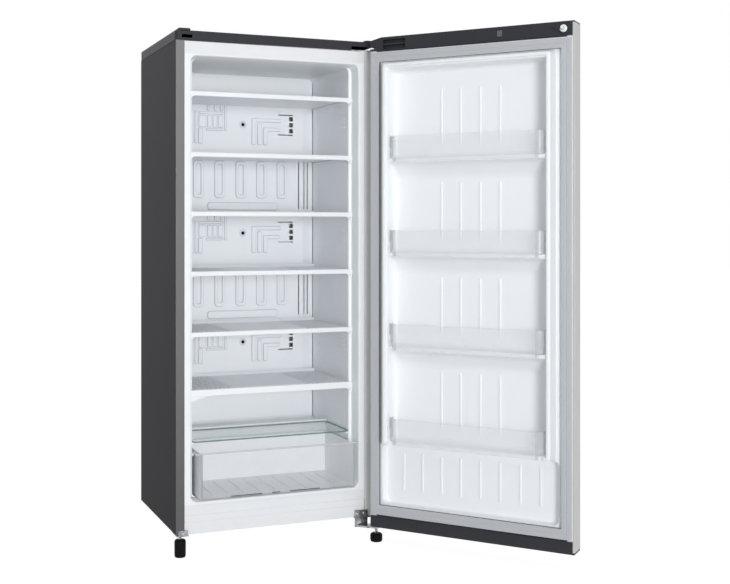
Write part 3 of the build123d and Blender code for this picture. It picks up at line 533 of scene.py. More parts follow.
def grown(outline: Outline, by: float) -> Outline:
    """Moves an anticlockwise outline outward, corner for corner.

    Args:
        outline: the outline.
        by: how far it moves, inward when below 0.

    Returns:
        As many points as before.
    """
    made: Outline = []
    for number, point in enumerate(outline):
        here, before = Vector(point), Vector(outline[number - 1])
        after = Vector(outline[(number + 1) % len(outline)])
        first, last = (here - before).normalized(), (after - here).normalized()
        one, two = Vector((first.y, -first.x)), Vector((last.y, -last.x))
        shift = (one + two) / max(1 + one.dot(two), 0.2)
        made.append((here.x + by * shift.x, here.y + by * shift.y))
    return made


def inside(point: Vector, outline: Sequence[Vector]) -> bool:
    """Finds whether a point lies inside an outline.

    Args:
        point: the point.
        outline: its corners, either way round.

    Returns:
        True when a ray from the point crosses the outline an odd number of times.
    """
    crossings = 0
    for number, one in enumerate(outline):
        two = outline[number - 1]
        if (one.y > point.y) != (two.y > point.y):
            reach = one.x + (point.y - one.y) * (two.x - one.x) / (two.y - one.y)
            crossings += point.x < reach
    return crossings % 2 == 1


def arc(radius: float, steps: int) -> list[Point2]:
    """Quarter arc from (0, radius), where it runs downward, to (radius, 0), where it runs across."""
    return [(radius * (1 - math.cos(turn)), radius * (1 - math.sin(turn))) for turn in quarter_turn(steps)]


def quarter(radius: float, steps: int = 4) -> list[Point2]:
    """Inset and drop of a quarter round, from the flat face over the edge."""
    return [(-down, across) for across, down in arc(radius, steps)]


def wall(top: float, floor: float, draft: float, edge: float, root: float) -> list[Point2]:
    """Section of a pocket's wall: rounded edge, drafted side, hollow root.

    Args:
        top: level of the face round the pocket.
        floor: level of the pocket's floor.
        draft: how far the side leans inward on its way down.
        edge: radius at the top.
        root: radius at the floor.

    Returns:
        Pairs of inset and level, from the top to the floor.
    """
    way = math.copysign(1, floor - top)
    rows = [(inset, top + way * drop) for inset, drop in quarter(edge)]
    return rows + [(draft + across, floor - way * down) for across, down in arc(root, 6)]


# ---- forms -----------------------------------------------------------------------------
class Along(Enum):
    """The axis that a section is drawn across."""

    X = 0
    Y = 1
    Z = 2

    def place(self, point: Point2, level: float) -> Point3:
        """A point of a section, in the order of the other two axes, at a level of this one."""
        u, v = point
        return ((level, u, v), (u, level, v), (u, v, level))[self.value]

    def flat(self, place: Vector) -> Vector:
        """A place seen along this axis."""
        x, y, z = place
        return Vector(((y, z), (x, z), (x, y))[self.value])


class Form:
    """A mesh in the making, in millimetres."""

    def __init__(self) -> None:
        """Starts with nothing."""
        self.mesh = bmesh.new()

    def ring(self, along: Along, outline: Outline, level: float) -> list[BMVert]:
        """Points of an outline at one level."""
        return [self.mesh.verts.new(along.place(point, level)) for point in outline]

    def join(self, first: Sequence[BMVert], second: Sequence[BMVert], closed: bool = True) -> None:
        """Walls between two rows of as many points."""
        for number in range(0 if closed else 1, len(first)):
            self.mesh.faces.new((first[number - 1], first[number], second[number], second[number - 1]))

    def loft(self, rings: Sequence[Sequence[BMVert]], closed: bool = True) -> None:
        """Walls between successive rings."""
        for first, second in zip(rings, rings[1:]):
            self.join(first, second, closed)

    def walls(self, along: Along, outline: Outline, rows: Sequence[Point2]) -> list[list[BMVert]]:
        """Walls round an outline.

        Args:
            along: the axis that the outline is drawn across.
            outline: the outline, anticlockwise.
            rows: how far it is moved outward and at which level, ring by ring.

        Returns:
            The rings.
        """
        rings = [self.ring(along, grown(outline, out), level) for out, level in rows]
        self.loft(rings)
        return rings

    def fill(self, along: Along, *loops: Sequence[BMVert]) -> None:
        """Fills the flat area inside the first loop and outside the others.

        Args:
            along: the axis that the area lies across.
            loops: closed rows of points.
        """
        corners = [corner for loop in loops for corner in loop]
        points = [along.flat(corner.co) for corner in corners]
        edges, first = [], 0
        for loop in loops:
            edges += [(first + number, first + (number + 1) % len(loop)) for number in range(len(loop))]
            first += len(loop)
        holes = [[along.flat(corner.co) for corner in loop] for loop in loops[1:]]
        places, _, triangles, origins, _, _ = delaunay_2d_cdt(points, edges, [], 1, 1e-6)
        for triangle in triangles:
            middle = sum((places[number] for number in triangle), Vector((0, 0))) / 3
            if not any(inside(middle, hole) for hole in holes):
                self.mesh.faces.new([corners[origins[number][0]] for number in triangle])

    def solid(
        self, along: Along, outline: Outline, low: float, high: float, edge: float = 0.8,
        holes: Sequence[Outline] = (), steps: int = 2,
    ) -> "Form":
        """A plate or bar of one section with rounded edges.

        Args:
            along: the axis that the section is drawn across.
            outline: the section, anticlockwise.
            low: where it starts along the axis.
            high: where it ends.
            edge: radius of its edges.
            holes: outlines of openings right through, anticlockwise.
            steps: straight pieces in each edge.

        Returns:
            This form.
        """
        caps = ([], [])
        for shape, sign in [(outline, 1), *((hole, -1) for hole in holes)]:
            bend = quarter(edge, steps) if edge else [(0, 0)]
            rows = [(sign * inset, low + drop) for inset, drop in bend]
            rows += [(sign * inset, high - drop) for inset, drop in reversed(bend)]
            rings = self.walls(along, shape, rows)
            caps[0].append(rings[0])
            caps[1].append(rings[-1])
        for loops in caps:
            self.fill(along, *loops)
        return self

    def box(
        self, x0: float, x1: float, y0: float, y1: float, z0: float, z1: float, edge: float = 0.8,
    ) -> "Form":
        """A block with rounded edges."""
        return self.solid(Along.Z, rectangle(x0, x1, y0, y1, 0.95 * edge, 2), z0, z1, edge)

    def turned(self, along: Along, centre: Point2, profile: Sequence[Point2], count: int = 40) -> "Form":
        """A turned solid.

        Args:
            along: its axis.
            centre: where the axis passes, in the other two coordinates.
            profile: pairs of radius and level, from one end to the other.
            count: sides of each ring.

        Returns:
            This form.
        """
        rings = [self.ring(along, circle(radius, *centre, count), level) for radius, level in profile]
        return self.capped(rings)

    def tube(self, points: Sequence[Point3], radius: float, bend: float, count: int = 12) -> "Form":
        """A round tube along a route with rounded bends and closed ends.

        Args:
            points: corners of the route, from one end to the other.
            radius: of the tube.
            bend: radius of the route's bends.
            count: sides of the tube.

        Returns:
            This form.
        """
        route = smooth_route(points, bend)
        side = (route[1] - route[0]).orthogonal().normalized()
        rings = []
        for number, place in enumerate(route):
            ahead = (route[min(number + 1, len(route) - 1)] - route[max(number - 1, 0)]).normalized()
            side = (side - ahead * side.dot(ahead)).normalized()
            up = ahead.cross(side)
            spokes = [side * math.cos(turn) + up * math.sin(turn) for turn in full_turn(count)]
            rings.append([self.mesh.verts.new(place + radius * spoke) for spoke in spokes])
        return self.capped(rings)

    def capped(self, rings: Sequence[Sequence[BMVert]]) -> "Form":
        """Walls between successive rings, closed at both ends.

        Args:
            rings: the rings, from one end to the other.

        Returns:
            This form.
        """
        self.loft(rings)
        for end in (rings[0], rings[-1]):
            self.mesh.faces.new(end)
        return self

    def paint(self, number: int, chosen: Callable[[BMFace], bool]) -> None:
        """Gives the chosen faces one of the piece's further materials.

        Args:
            number: which of the further materials, from 1.
            chosen: says whether a face gets it.
        """
        for face in self.mesh.faces:
            if chosen(face):
                face.material_index = number

    def settle(self, outward: Point3 | None = None) -> "Form":
        """Merges shared points and faces the whole surface outward.

        Args:
            outward: for an open sheet, the way that it should face on the whole.

        Returns:
            This form.
        """
        bmesh.ops.remove_doubles(self.mesh, verts=self.mesh.verts, dist=MERGED)
        bmesh.ops.dissolve_degenerate(self.mesh, edges=self.mesh.edges, dist=MERGED)
        bmesh.ops.recalc_face_normals(self.mesh, faces=self.mesh.faces)
        if outward is not None:
            lean = sum((face.normal * face.calc_area() for face in self.mesh.faces), Vector())
            if lean.dot(Vector(outward)) < 0:
                bmesh.ops.reverse_faces(self.mesh, faces=self.mesh.faces)
        return self


def smooth_route(points: Sequence[Point3], bend: float, steps: int = 5) -> list[Vector]:
    """Rounds the corners of a route.

    Args:
        points: its corners, from one end to the other.
        bend: radius of the arcs.
        steps: how many straight pieces each arc gets.

    Returns:
        Points along the route.
    """
    corners = [Vector(point) for point in points]
    route = [corners[0]]
    for before, corner, after in zip(corners, corners[1:], corners[2:]):
        back, on = (before - corner), (after - corner)
        half = back.angle(on) / 2
        run = min(bend / math.tan(half), 0.49 * back.length, 0.49 * on.length)
        back.normalize()
        on.normalize()
        centre = corner + (back + on).normalized() * run / math.cos(half)
        first, last = corner + back * run - centre, corner + on * run - centre
        sweep = first.angle(last)
        for step in range(steps + 1):
            share = step / steps
            spoke = first * math.sin((1 - share) * sweep) + last * math.sin(share * sweep)
            route.append(centre + spoke / math.sin(sweep))
    return route + [corners[-1]]


# ---- finishing -------------------------------------------------------------------------
def span(node: str) -> tuple[Vector, Vector]:
    """Lowest and highest corner of a CAD node, in millimetres."""
    low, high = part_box(node)
    return low / METRES, high / METRES


class Shop:
    """Turns forms and CAD nodes into finished pieces of the model."""

    soft_angle = math.radians(34)

    def __init__(self, palette: Palette) -> None:
        """Keeps the palette, the record's slots and the turn that opens the door.

        Args:
            palette: every material.
        """
        self.palette = palette
        self.slots = {row["node"]: Slot(row["material_slot"]) for row in frame["record"]["subparts"]}
        hinge = next(joint for joint in frame["joints"] if joint["name"] == "door_hinge")
        pivot = Vector(hinge["pos_m"]) / METRES
        opened = Matrix.Rotation(math.radians(-hinge["range_deg"][0]), 4, "Z")
        self.opening = Matrix.Translation(pivot) @ opened @ Matrix.Translation(-pivot)

    def on_door(self, node: str) -> bool:
        """Whether a CAD node hangs on the door."""
        body = frame["nodes"][node]["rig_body"]
        return body == "door" or body.startswith(("rack", "lock"))

    def copied(self, node: str) -> Form:
        """Copies a CAD node, with the door closed and its flat faces made whole.

        Args:
            node: its name.

        Returns:
            Its shape in millimetres.
        """
        form = Form()
        form.mesh.from_mesh(frame["nodes"][node].data)
        form.mesh.transform(Matrix.Scale(1 / METRES, 4))
        if self.on_door(node):
            form.mesh.transform(self.opening.inverted())
        bmesh.ops.remove_doubles(form.mesh, verts=form.mesh.verts, dist=1e-3)
        straight = {"angle_limit": math.radians(0.5), "verts": form.mesh.verts, "edges": form.mesh.edges}
        bmesh.ops.dissolve_limit(form.mesh, **straight)
        return form

    def make(
        self, form: Form, *nodes: str, edge: float = 0, extras: Sequence[Slot | str] = (),
        finish: Slot | str | None = None,
    ) -> bpy.types.Object:
        """Makes a piece that stands for one or more CAD nodes and moves with them.

        Args:
            form: its shape, in millimetres, with the door closed.
            nodes: the CAD nodes that it stands for.
            edge: width of a bevel on every sharp edge, or 0 for none.
            extras: slots or names of further materials, numbered from 1 in the form.
            finish: slot or name of its main material, where it isn't that of its own slot.

        Returns:
            The piece.
        """
        slot = self.slots[nodes[0]]
        name = nodes[0] + ".finished"
        if self.on_door(nodes[0]):
            form.mesh.transform(self.opening)
        form.mesh.transform(Matrix.Scale(METRES, 4))
        mesh = bpy.data.meshes.new(name)
        form.mesh.to_mesh(mesh)
        form.mesh.free()
        for key in (finish or slot, *extras):
            mesh.materials.append(self.palette.known[key])
        piece = bpy.data.objects.new(name, mesh)
        bpy.context.scene.collection.objects.link(piece)
        if edge:
            bevel = piece.modifiers.new("edges", "BEVEL")
            bevel.width, bevel.segments = edge * METRES, 2
            bevel.limit_method, bevel.angle_limit = "ANGLE", self.soft_angle
            self._apply(piece)
        piece.data.shade_smooth()
        piece.data.set_sharp_from_angle(angle=self.soft_angle)
        piece.modifiers.new("flats", "WEIGHTED_NORMAL").keep_sharp = True
        self._apply(piece)
        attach(piece, frame["nodes"][nodes[0]]["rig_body"])
        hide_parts(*nodes)
        log.info("%s: %d faces", name, len(piece.data.polygons))
        return piece

    @staticmethod
    def _apply(piece: bpy.types.Object) -> None:
        """Makes a piece's modifiers part of its mesh.

        Args:
            piece: the piece.
        """
        graph = bpy.context.evaluated_depsgraph_get()
        mesh = bpy.data.meshes.new_from_object(piece.evaluated_get(graph), depsgraph=graph)
        piece.modifiers.clear()
        piece.data = mesh

    def refine(self, *nodes: str, edge: float = 0.5) -> None:
        """Stands a copy with softened edges in for each CAD node."""
        for node in nodes:
            self.make(self.copied(node), node, edge=edge)


@dataclass
class Maker:
    """One sub-assembly, and the shop where its pieces are finished."""

    shop: Shop

    def build(self) -> None:
        """Makes every piece."""
        raise NotImplementedError


# ---- cabinet ---------------------------------------------------------------------------
@dataclass
class Cabinet(Maker):
    """Steel case, rails, top cover, hinges, front feet and rear rollers."""

    return_depth: float = 1.0
    thread_pitch: float = 1.25
    thread_depth: float = 0.45
    stud: float = 4.0
    knurls: int = 14
    skirt_left: float = 44.0
    skirt_right: float = 22.0
    bore: float = 3.1

    def build(self) -> None:
        """Makes every piece of the cabinet's outside."""
        self._case()
        self.shop.refine("back_panel", "base_sheet", "front_rail_top", "front_rail_low", edge=0.5)
        self.shop.refine("top_cover", edge=1.4)
        self.shop.refine("hinge_plate_top", "hinge_bracket_low", "foot_bracket_left", edge=0.5)
        self.shop.refine("cabinet_screws", "roller_brackets", edge=0.4)
        self._foot("foot_left", self.skirt_left)
        self._foot("foot_right", self.skirt_right)
        for name in ("roller_left", "roller_right"):
            self._roller(name)

    def _case(self) -> None:
        """Folded case, with the glossier finish on its front returns, which carries painted reflection and
        painted shade.
        """
        form = self.shop.copied("case_wrapper")
        # front returns get the finish with the painted reflection of the door and painted shade low down
        form.paint(1, lambda face: face.normal.y < -0.9 and face.calc_center_median().y < self.return_depth)
        self.shop.make(form, "case_wrapper", edge=0.7, extras=["front_return_painted_reflection"])

    def _foot(self, name: str, tall: float) -> None:
        """Levelling foot: a knurled skirt with a domed top on a threaded stud.

        Args:
            name: its CAD node.
            tall: height of its skirt.
        """
        low, high = span(name)
        x, y = (low.x + high.x) / 2, (low.y + high.y) / 2
        radius = (high.x - low.x) / 2
        form = Form()
        rows = [
            (radius - 3, 0.0), (radius - 1.6, 0.6), (radius - 1, 2), (radius - 0.2, 5), (radius, tall - 6),
            (radius - 0.8, tall - 3), (radius - 3, tall - 0.9), (radius - 6, tall), (self.stud + 1, tall),
        ]
        turns = full_turn(self.knurls * 6)
        rings = []
        for reach, level in rows:
            depth = 0.7 if 1 < level < tall - 2 else 0.2
            waves = [reach - depth + depth * abs(math.cos(self.knurls * turn / 2)) for turn in turns]
            around = [(x + r * math.cos(turn), y + r * math.sin(turn)) for r, turn in zip(waves, turns)]
            rings.append(form.ring(Along.Z, around, level))
        form.capped(rings)
        skirt = set(form.mesh.faces)
        thread = []
        for turn in range(int((high.z - tall) / self.thread_pitch)):
            level = tall + turn * self.thread_pitch
            thread += [(self.stud - self.thread_depth, level), (self.stud, level + self.thread_pitch / 2)]
        form.turned(Along.Z, (x, y), [(self.stud, tall - 1), *thread, (self.stud - 0.6, high.z)], 28)
        form.paint(1, lambda face: face not in skirt)
        self.shop.make(form.settle(), name, extras=["bright_stud"])

    def _roller(self, name: str) -> None:
        """Rear roller with a crowned tread and a bored hub.

        Args:
            name: its CAD node.
        """
        low, high = span(name)
        y, z, radius = (low.y + high.y) / 2, (low.z + high.z) / 2, (high.z - low.z) / 2
        x0, x1 = low.x, high.x
        rows = [
            (self.bore, x0), (6, x0), (6.4, x0 + 0.8), (radius - 3, x0 + 0.8), (radius - 2.4, x0),
            (radius - 1.2, x0), (radius - 0.3, x0 + 1.2), (radius, x0 + 4),
        ]
        rows += [(reach, x0 + x1 - level) for reach, level in reversed(rows)]
        form = Form()
        rings = [form.ring(Along.X, circle(reach, y, z, 40), level) for reach, level in rows]
        form.loft(rings)
        form.join(rings[-1], rings[0])
        self.shop.make(form.settle(), name)


# ---- cold space ------------------------------------------------------------------------
@dataclass
class Liner(Maker):
    """Moulded liner: flange, tapered mouth, walls, rear step and the ledges that carry the shelves."""

    mouth_half: float = 226.0
    mouth_low: float = 136.5
    mouth_high: float = 1243.0
    mouth_radius: float = 16.0
    wall_inset: float = 13.0
    rise: float = 4.0
    ledge_reach: float = 207.0
    step_front: float = 192.0
    step_top: float = 276.0
    back: float = 332.0
    root: float = 14.0
    thickness: float = 1.8
    glass_ledge: Point2 = (271.0, 277.0)
    runner_ledge: Point2 = (242.5, 249.5)
    ledge_depth: Point2 = (42.0, 284.0)
    ledge_drop: Point2 = (12.0, 5.3)
    rungs: int = 5
    rung_pitch: float = 13.0
    rung_tall: float = 4.0
    rung_depth: Point2 = (66.0, 104.0)

    def section(self) -> list[tuple[float, float, float, float]]:
        """Lists the rings of the liner from its flange to the back wall.

        Returns:
            Sideways inset, upright inset, depth and corner radius of each ring.
        """
        rows = [(inset, inset, 1 + drop, self.mouth_radius) for inset, drop in quarter(3)]
        rows += [(self.rise, self.rise, 21, 14), (self.rise, self.rise, 36, 14)]
        rows += [(self.rise + 1, self.rise, 37.5, 13), (self.wall_inset - 1.5, self.rise, 38.5, 13)]
        rows += [(self.wall_inset, self.rise, 40.5, 13)]
        for inset, short in arc(self.root, 6):
            rows.append((self.wall_inset + inset, self.rise + inset, self.back - short, 14))
        return rows

    def build(self) -> None:
        """Makes the liner."""
        low, high = span("inner_liner")
        form = Form()
        flange = rectangle(low.x, high.x, low.z, high.z, 2)
        edge = [form.ring(Along.Y, flange, level) for level in (3, 1)]
        rings = []
        for aside, above, depth, radius in self.section():
            half = self.mouth_half - aside
            shape = rectangle(-half, half, self.mouth_low + above, self.mouth_high - above, radius, 6)
            rings.append(form.ring(Along.Y, shape, depth))
        form.loft(edge)
        form.fill(Along.Y, edge[-1], rings[0])
        form.loft(rings)
        form.fill(Along.Y, rings[-1])
        form.settle((0, -1, 0))
        bmesh.ops.solidify(form.mesh, geom=form.mesh.faces, thickness=self.thickness)
        self._step(form)
        self._ledges(form)
        self.shop.make(form.settle(), "inner_liner")

    def _step(self, form: Form) -> None:
        """Step over the machine bay, with a soft nose.

        Args:
            form: the liner.
        """
        side, low = self.mouth_half - self.wall_inset + 0.5, self.mouth_low + self.rise - 0.5
        top = self.step_top
        corners = [(self.step_front, low), (self.back + 1, low), (self.back + 1, top)]
        nose = rounded([(self.step_front, top + 40), (self.step_front, top), corners[-1]], 9, 6)
        form.solid(Along.X, [*corners, *reversed(nose[7:14])], -side, side, edge=0)

    def _ledges(self, form: Form) -> None:
        """Ledges of the shelves, the glass and the drawer, and the faint ladders beside them.

        Args:
            form: the liner.
        """
        root = self.mouth_half - self.wall_inset + 1
        (front, behind), (under, over) = self.ledge_depth, self.ledge_drop
        tops = [span(f"shelf_{number}")[1].z - Shelf.lip_rise for number in range(1, 7)]
        rows = [(top - under, top - over, behind) for top in tops]
        rows += [(*self.glass_ledge, self.step_front - 2), (*self.runner_ledge, self.step_front - 6)]
        for low, high, back in rows:
            for x0, x1 in ((self.ledge_reach, root), (-root, -self.ledge_reach)):
                form.box(x0, x1, front, back, low, high, 1.6)
        for place in SCREW_LEVELS:
            for rung in range(self.rungs):
                z = place + 30 - rung * self.rung_pitch
                for side in (-1, 1):
                    x0, x1 = sorted((side * (root - 2.2), side * (root + 0.5)))
                    form.box(x0, x1, *self.rung_depth, z, z + self.rung_tall, 0.9)


@dataclass
class Duct(Maker):
    """Panel in front of the cold coil: tiled reliefs round each screw, raised loops, slots and louvres."""

    face: float = 287.0
    bevel: float = 297.0
    flat: float = 178.0
    shoulder: float = 204.0
    outer: float = 211.0
    low: float = 275.9
    high: float = 1238.9
    lift: float = 3.4
    thickness: float = 1.8
    loops: tuple[float, ...] = (949.2, 649.3)
    loops_across: int = 5
    loop_pitch: float = 60.7
    loop_first: float = -128.0
    loop_half: Point2 = (14.5, 51.0)
    loop_hollow: Point2 = (7.0, 42.0)
    screw_collar: Point2 = (9.0, 5.6)
    long_louvres: tuple[float, ...] = (-27, 29)
    short_louvres: tuple[float, ...] = (-20, -3, 14)
    screw_section: tuple[Point2, ...] = (
        (0.8, -2.2), (2.6, -2.5), (4, -1.6), (4.5, -0.2), (2.2, -0.1), (2.2, 14),
    )
    tiles: tuple[tuple[float, ...], ...] = (
        (-149, -143, -55, 33), (-138, -132, -55, 33), (-128, -117, -55, -14), (-127, -107, -10, 22),
        (-102, -92, -10, 22), (-87, -77, -10, 22), (-72, -60, -10, 22), (-127, -58, 26, 32),
        (-53, -48, -19, 58), (-106, -57, -19, -14), (-103, -97, 36, 58), (-83, -76, 36, 58),
        (-66, -60, 36, 58),
    )
    bends: tuple[Sequence[Point2], ...] = (
        ((26, -55), (37, -55), (37, 9), (112, 9), (112, 18), (26, 18)),
        ((43, -55), (54, -55), (54, 4), (43, 4)),
        ((60, -55), (71, -55), (71, -16), (108, -16), (108, -7), (60, -7)),
    )
    slots: tuple[float, ...] = (166.0, 183.0, 195.0)

    def depth(self, x: float) -> float:
        """How far back the panel's face is at a place across it."""
        share = (abs(x) - self.flat) / (self.shoulder - self.flat)
        return self.face + (self.bevel - self.face) * min(max(share, 0), 1)

    def ring(self, form: Form, outline: Outline, drop: float) -> list[BMVert]:
        """An outline laid on the panel, or so far behind its face."""
        return [form.mesh.verts.new((x, self.depth(x) + drop, z)) for x, z in outline]

    def mound(self, form: Form, outline: Outline, lift: float, inward: bool = False) -> tuple[Any, Any]:
        """Rounded side wall of a raised area, its faces given painted shade.

        Args:
            form: the panel.
            outline: of the area's top.
            lift: its height.
            inward: whether the wall goes down into a hole in the area.

        Returns:
            The ring at its foot and the ring at its top.
        """
        sign = -1 if inward else 1
        rows = [(1.2, 0), (0.5, 0.3), (0.2, 0.9), (0, lift - 0.9), (-0.3, lift - 0.25), (-0.9, lift)]
        rings = [self.ring(form, grown(outline, sign * out), -up) for out, up in rows]
        known = set(form.mesh.faces)
        form.loft(rings)
        # the side walls take a darker white: painted shade that brings out the relief
        form.paint(1, lambda face: face not in known)
        return rings[0], rings[-1]

    def pad(self, form: Form, outline: Outline, lift: float) -> list[BMVert]:
        """Adds a raised pad.

        Args:
            form: the panel.
            outline: of the pad's top.
            lift: its height.

        Returns:
            The ring at its foot.
        """
        foot, top = self.mound(form, outline, lift)
        form.fill(Along.Y, top)
        return foot

    def collar(self, form: Form, outline: Outline, hollow: Outline, lift: float) -> list[BMVert]:
        """Adds a raised area with a hollow in its middle.

        Args:
            form: the panel.
            outline: of the area's top.
            hollow: outline of the hollow.
            lift: its height.

        Returns:
            The ring at its outer foot.
        """
        foot, top = self.mound(form, outline, lift)
        floor, brim = self.mound(form, hollow, lift, inward=True)
        form.fill(Along.Y, top, brim)
        form.fill(Along.Y, floor)
        return foot

    def hole(self, form: Form, outline: Outline) -> list[BMVert]:
        """Adds an opening with a rounded brim.

        Args:
            form: the panel.
            outline: of the opening.

        Returns:
            The ring at its brim.
        """
        rows = [(0.5, 0), (0.15, 0.15), (0, 0.5), (0, 4)]
        rings = [self.ring(form, grown(outline, out), drop) for out, drop in rows]
        form.loft(rings)
        return rings[0]

    def build(self) -> None:
        """Makes the panel and its screws."""
        form, middle, right = Form(), [], []
        for z in SCREW_LEVELS:
            for x0, x1, z0, z1 in self.tiles:
                middle.append(self.pad(form, rectangle(x0, x1, z + z0, z + z1, 1.5, 3), self.lift))
            for bend in self.bends:
                path = rounded([(x, z + rise) for x, rise in bend], 2.5, 3)
                middle.append(self.pad(form, path, self.lift))
            rim, hollow = (circle(radius, 0, z, 20) for radius in self.screw_collar)
            middle.append(self.collar(form, rim, hollow, 1.4))
            for low in self.long_louvres:
                middle.append(self.hole(form, rectangle(104, 149, z + low, z + low + 3, 1.2, 2)))
            for low in self.short_louvres:
                middle.append(self.hole(form, rectangle(137, 149, z + low, z + low + 12, 1.2, 2)))
        for z in self.loops:
            (wide, tall), (gap, drop) = self.loop_half, self.loop_hollow
            for number in range(self.loops_across):
                x = self.loop_first + number * self.loop_pitch
                outline = rectangle(x - wide, x + wide, z - tall, z + tall, 9, 5)
                hollow = rectangle(x - gap, x + gap, z - drop, z + drop, 5, 5)
                middle.append(self.collar(form, outline, hollow, self.lift + 0.8))
            middle.append(self.pad(form, rectangle(-102, 102, z - 84, z - 64, 7, 4), self.lift + 0.6))
            for x in self.slots:
                rim = self.hole(form, rectangle(x - 1.6, x + 1.6, z - 80, z + 52, 1.2, 2))
                (middle if x < self.flat else right).append(rim)
        self._faces(form, middle, right)
        form.settle((0, -1, 0))
        bmesh.ops.solidify(form.mesh, geom=form.mesh.faces, thickness=self.thickness)
        self.shop.make(form.settle(), "rear_duct_panel", extras=["relief_painted_shade"])
        self._screws()

    def _faces(self, form: Form, middle: list[Any], right: list[Any]) -> None:
        """Flat face, side bevels and outer lips, open where something is raised or cut.

        Args:
            form: the panel.
            middle: rings of what is raised or cut in the flat face.
            right: those in the bevel on the right.
        """
        zones = ((-self.flat, self.flat, middle), (self.flat, self.shoulder, right))
        zones += ((-self.shoulder, -self.flat, []), (self.shoulder, self.outer, []))
        zones += ((-self.outer, -self.shoulder, []),)
        for x0, x1, holes in zones:
            form.fill(Along.Y, self.ring(form, rectangle(x0, x1, self.low, self.high), 0), *holes)

    def _screws(self) -> None:
        """Domed screw heads with a cross recess, each sunk in its collar."""
        form = Form()
        section = [(radius, self.face + level) for radius, level in self.screw_section]
        for z in SCREW_LEVELS:
            form.turned(Along.Y, (0, z), section, 24)
        self.shop.make(form.settle(), "duct_screws")


@dataclass
class Shelf(Maker):
    """Moulded shelf: rounded rim with a corner web and a holed lug, ribbed deck and rear lip."""

    number: int
    half: float = 221.0
    deck_half: float = 212.0
    rim: Point2 = (30.0, 36.0)
    back: float = 284.0
    plateau: float = 102.0
    rib_pitch: float = 11.6
    ribs: int = 9
    web_radius: float = 12.0
    web_depth: Point2 = (1.0, 4.5)
    long_web: Point3 = (11.0, 6.0, 44.0)
    lowest: int = 6
    lip_rise: float = 4.0
    rim_tall: float = 10.0
    deck: Point2 = (5.0, 2.0)
    rib: Point2 = (1.9, 8.0)

    def build(self) -> None:
        """Makes the shelf."""
        low, high = span(f"shelf_{self.number}")
        top, under = high.z - self.lip_rise, low.z + self.rim_tall
        form = Form()
        front, behind = self.rim
        section = rectangle(front, behind, under, top, 2.2, 4)
        form.solid(Along.X, section, -self.half, self.half, 1.2, steps=3)
        deck = rectangle(-self.deck_half, self.deck_half, behind - 3, self.back - 2, 5, 4)
        form.solid(Along.Z, deck, top - self.deck[0], top - self.deck[1], 0.8)
        island = rectangle(-self.plateau, self.plateau, behind + 16, self.back - 14, 14, 6)
        form.solid(Along.Z, island, top - 2.4, top - 0.7, 0.8)
        half, short = self.rib
        for number in range(self.ribs):
            reach = self.plateau + short + number * self.rib_pitch
            for x in (-reach, reach):
                form.box(x - half, x + half, behind + short, self.back - short, top - 2.6, top + 0.3, 0.8)
        lip = rectangle(self.back - 3.4, self.back - 0.4, top - 5, top + 7, 1.3, 3)
        form.solid(Along.X, lip, -self.deck_half, self.deck_half, 1)
        self._web(form, under)
        self._lug(form, under)
        self.shop.make(form.settle(), f"shelf_{self.number}")

    def _web(self, form: Form, under: float) -> None:
        """Hollow-cornered web under the left end of the rim, long and shallow on the lowest shelf.

        Args:
            form: the shelf.
            under: level of the rim's underside.
        """
        radius, x = self.web_radius, -self.half + 0.6
        foot = x + 2
        hollow = [(foot + across, under - down) for across, down in arc(radius, 6)]
        corners = [(x, under - radius), *hollow, (foot + radius, under + 2)]
        if self.number == self.lowest:
            drop, flat, reach = self.long_web
            corners = [(x, under - drop), (x + flat, under - drop), (x + reach, under)]
            corners.append((x + reach, under + 2))
        near, far = (self.rim[0] + depth for depth in self.web_depth)
        form.solid(Along.Y, [(x, under + 2), *corners], near, far, 0.4)

    def _lug(self, form: Form, under: float) -> None:
        """Holed lug under the right end of the rim.

        Args:
            form: the shelf.
            under: level of the rim's underside.
        """
        x = self.half - 0.6
        corners = [(x - 17, under + 1.5), (x - 7, under - 7.5), (x, under - 9.5), (x, under + 1.5)]
        eye = circle(2, x - 6.5, under - 2.6, 14)
        near, far = (self.rim[0] + depth for depth in self.web_depth)
        form.solid(Along.Y, rounded(corners, 1.5, 3), near, far, 0.4, [eye])


@dataclass
class Glass(Maker):
    """Toughened plate over the drawer, with polished green edges."""

    corner: float = 9.0
    polish: float = 1.3

    def build(self) -> None:
        """Makes the plate."""
        low, high = span("glass_shelf")
        form = Form()
        outline = rectangle(low.x, high.x, low.y, high.y, self.corner, 8)
        form.solid(Along.Z, outline, low.z, high.z, self.polish, steps=3)
        form.settle()
        form.paint(1, lambda face: abs(face.normal.z) < 0.95)
        self.shop.make(form, "glass_shelf", extras=["glass_edge"])


@dataclass
class Drawer(Maker):
    """Drawer with a clear front, a milky tub and three slots whose shadow is painted as dark lines."""

    inside: float = -18.0
    slot_depth: Point2 = (-21.6, -20.2)
    slot_height: Point2 = (147.5, 149.7)
    slots: tuple[Point2, ...] = ((-129.9, -48.1), (-21.9, -0.1), (26.1, 107.9))

    def build(self) -> None:
        """Makes the drawer."""
        form = self.shop.copied("drawer")
        form.paint(1, lambda face: face.calc_center_median().y > self.inside)
        known = set(form.mesh.faces)
        # dark bars in the slots: painted shadow of the gaps
        for x0, x1 in self.slots:
            form.box(x0, x1, *self.slot_depth, *self.slot_height, 0.3)
        form.paint(2, lambda face: face not in known)
        extras = ["drawer_milky", "slot_painted_shadow_and_tab_grey"]
        self.shop.make(form, "drawer", edge=0.5, extras=extras, finish="drawer_clear")


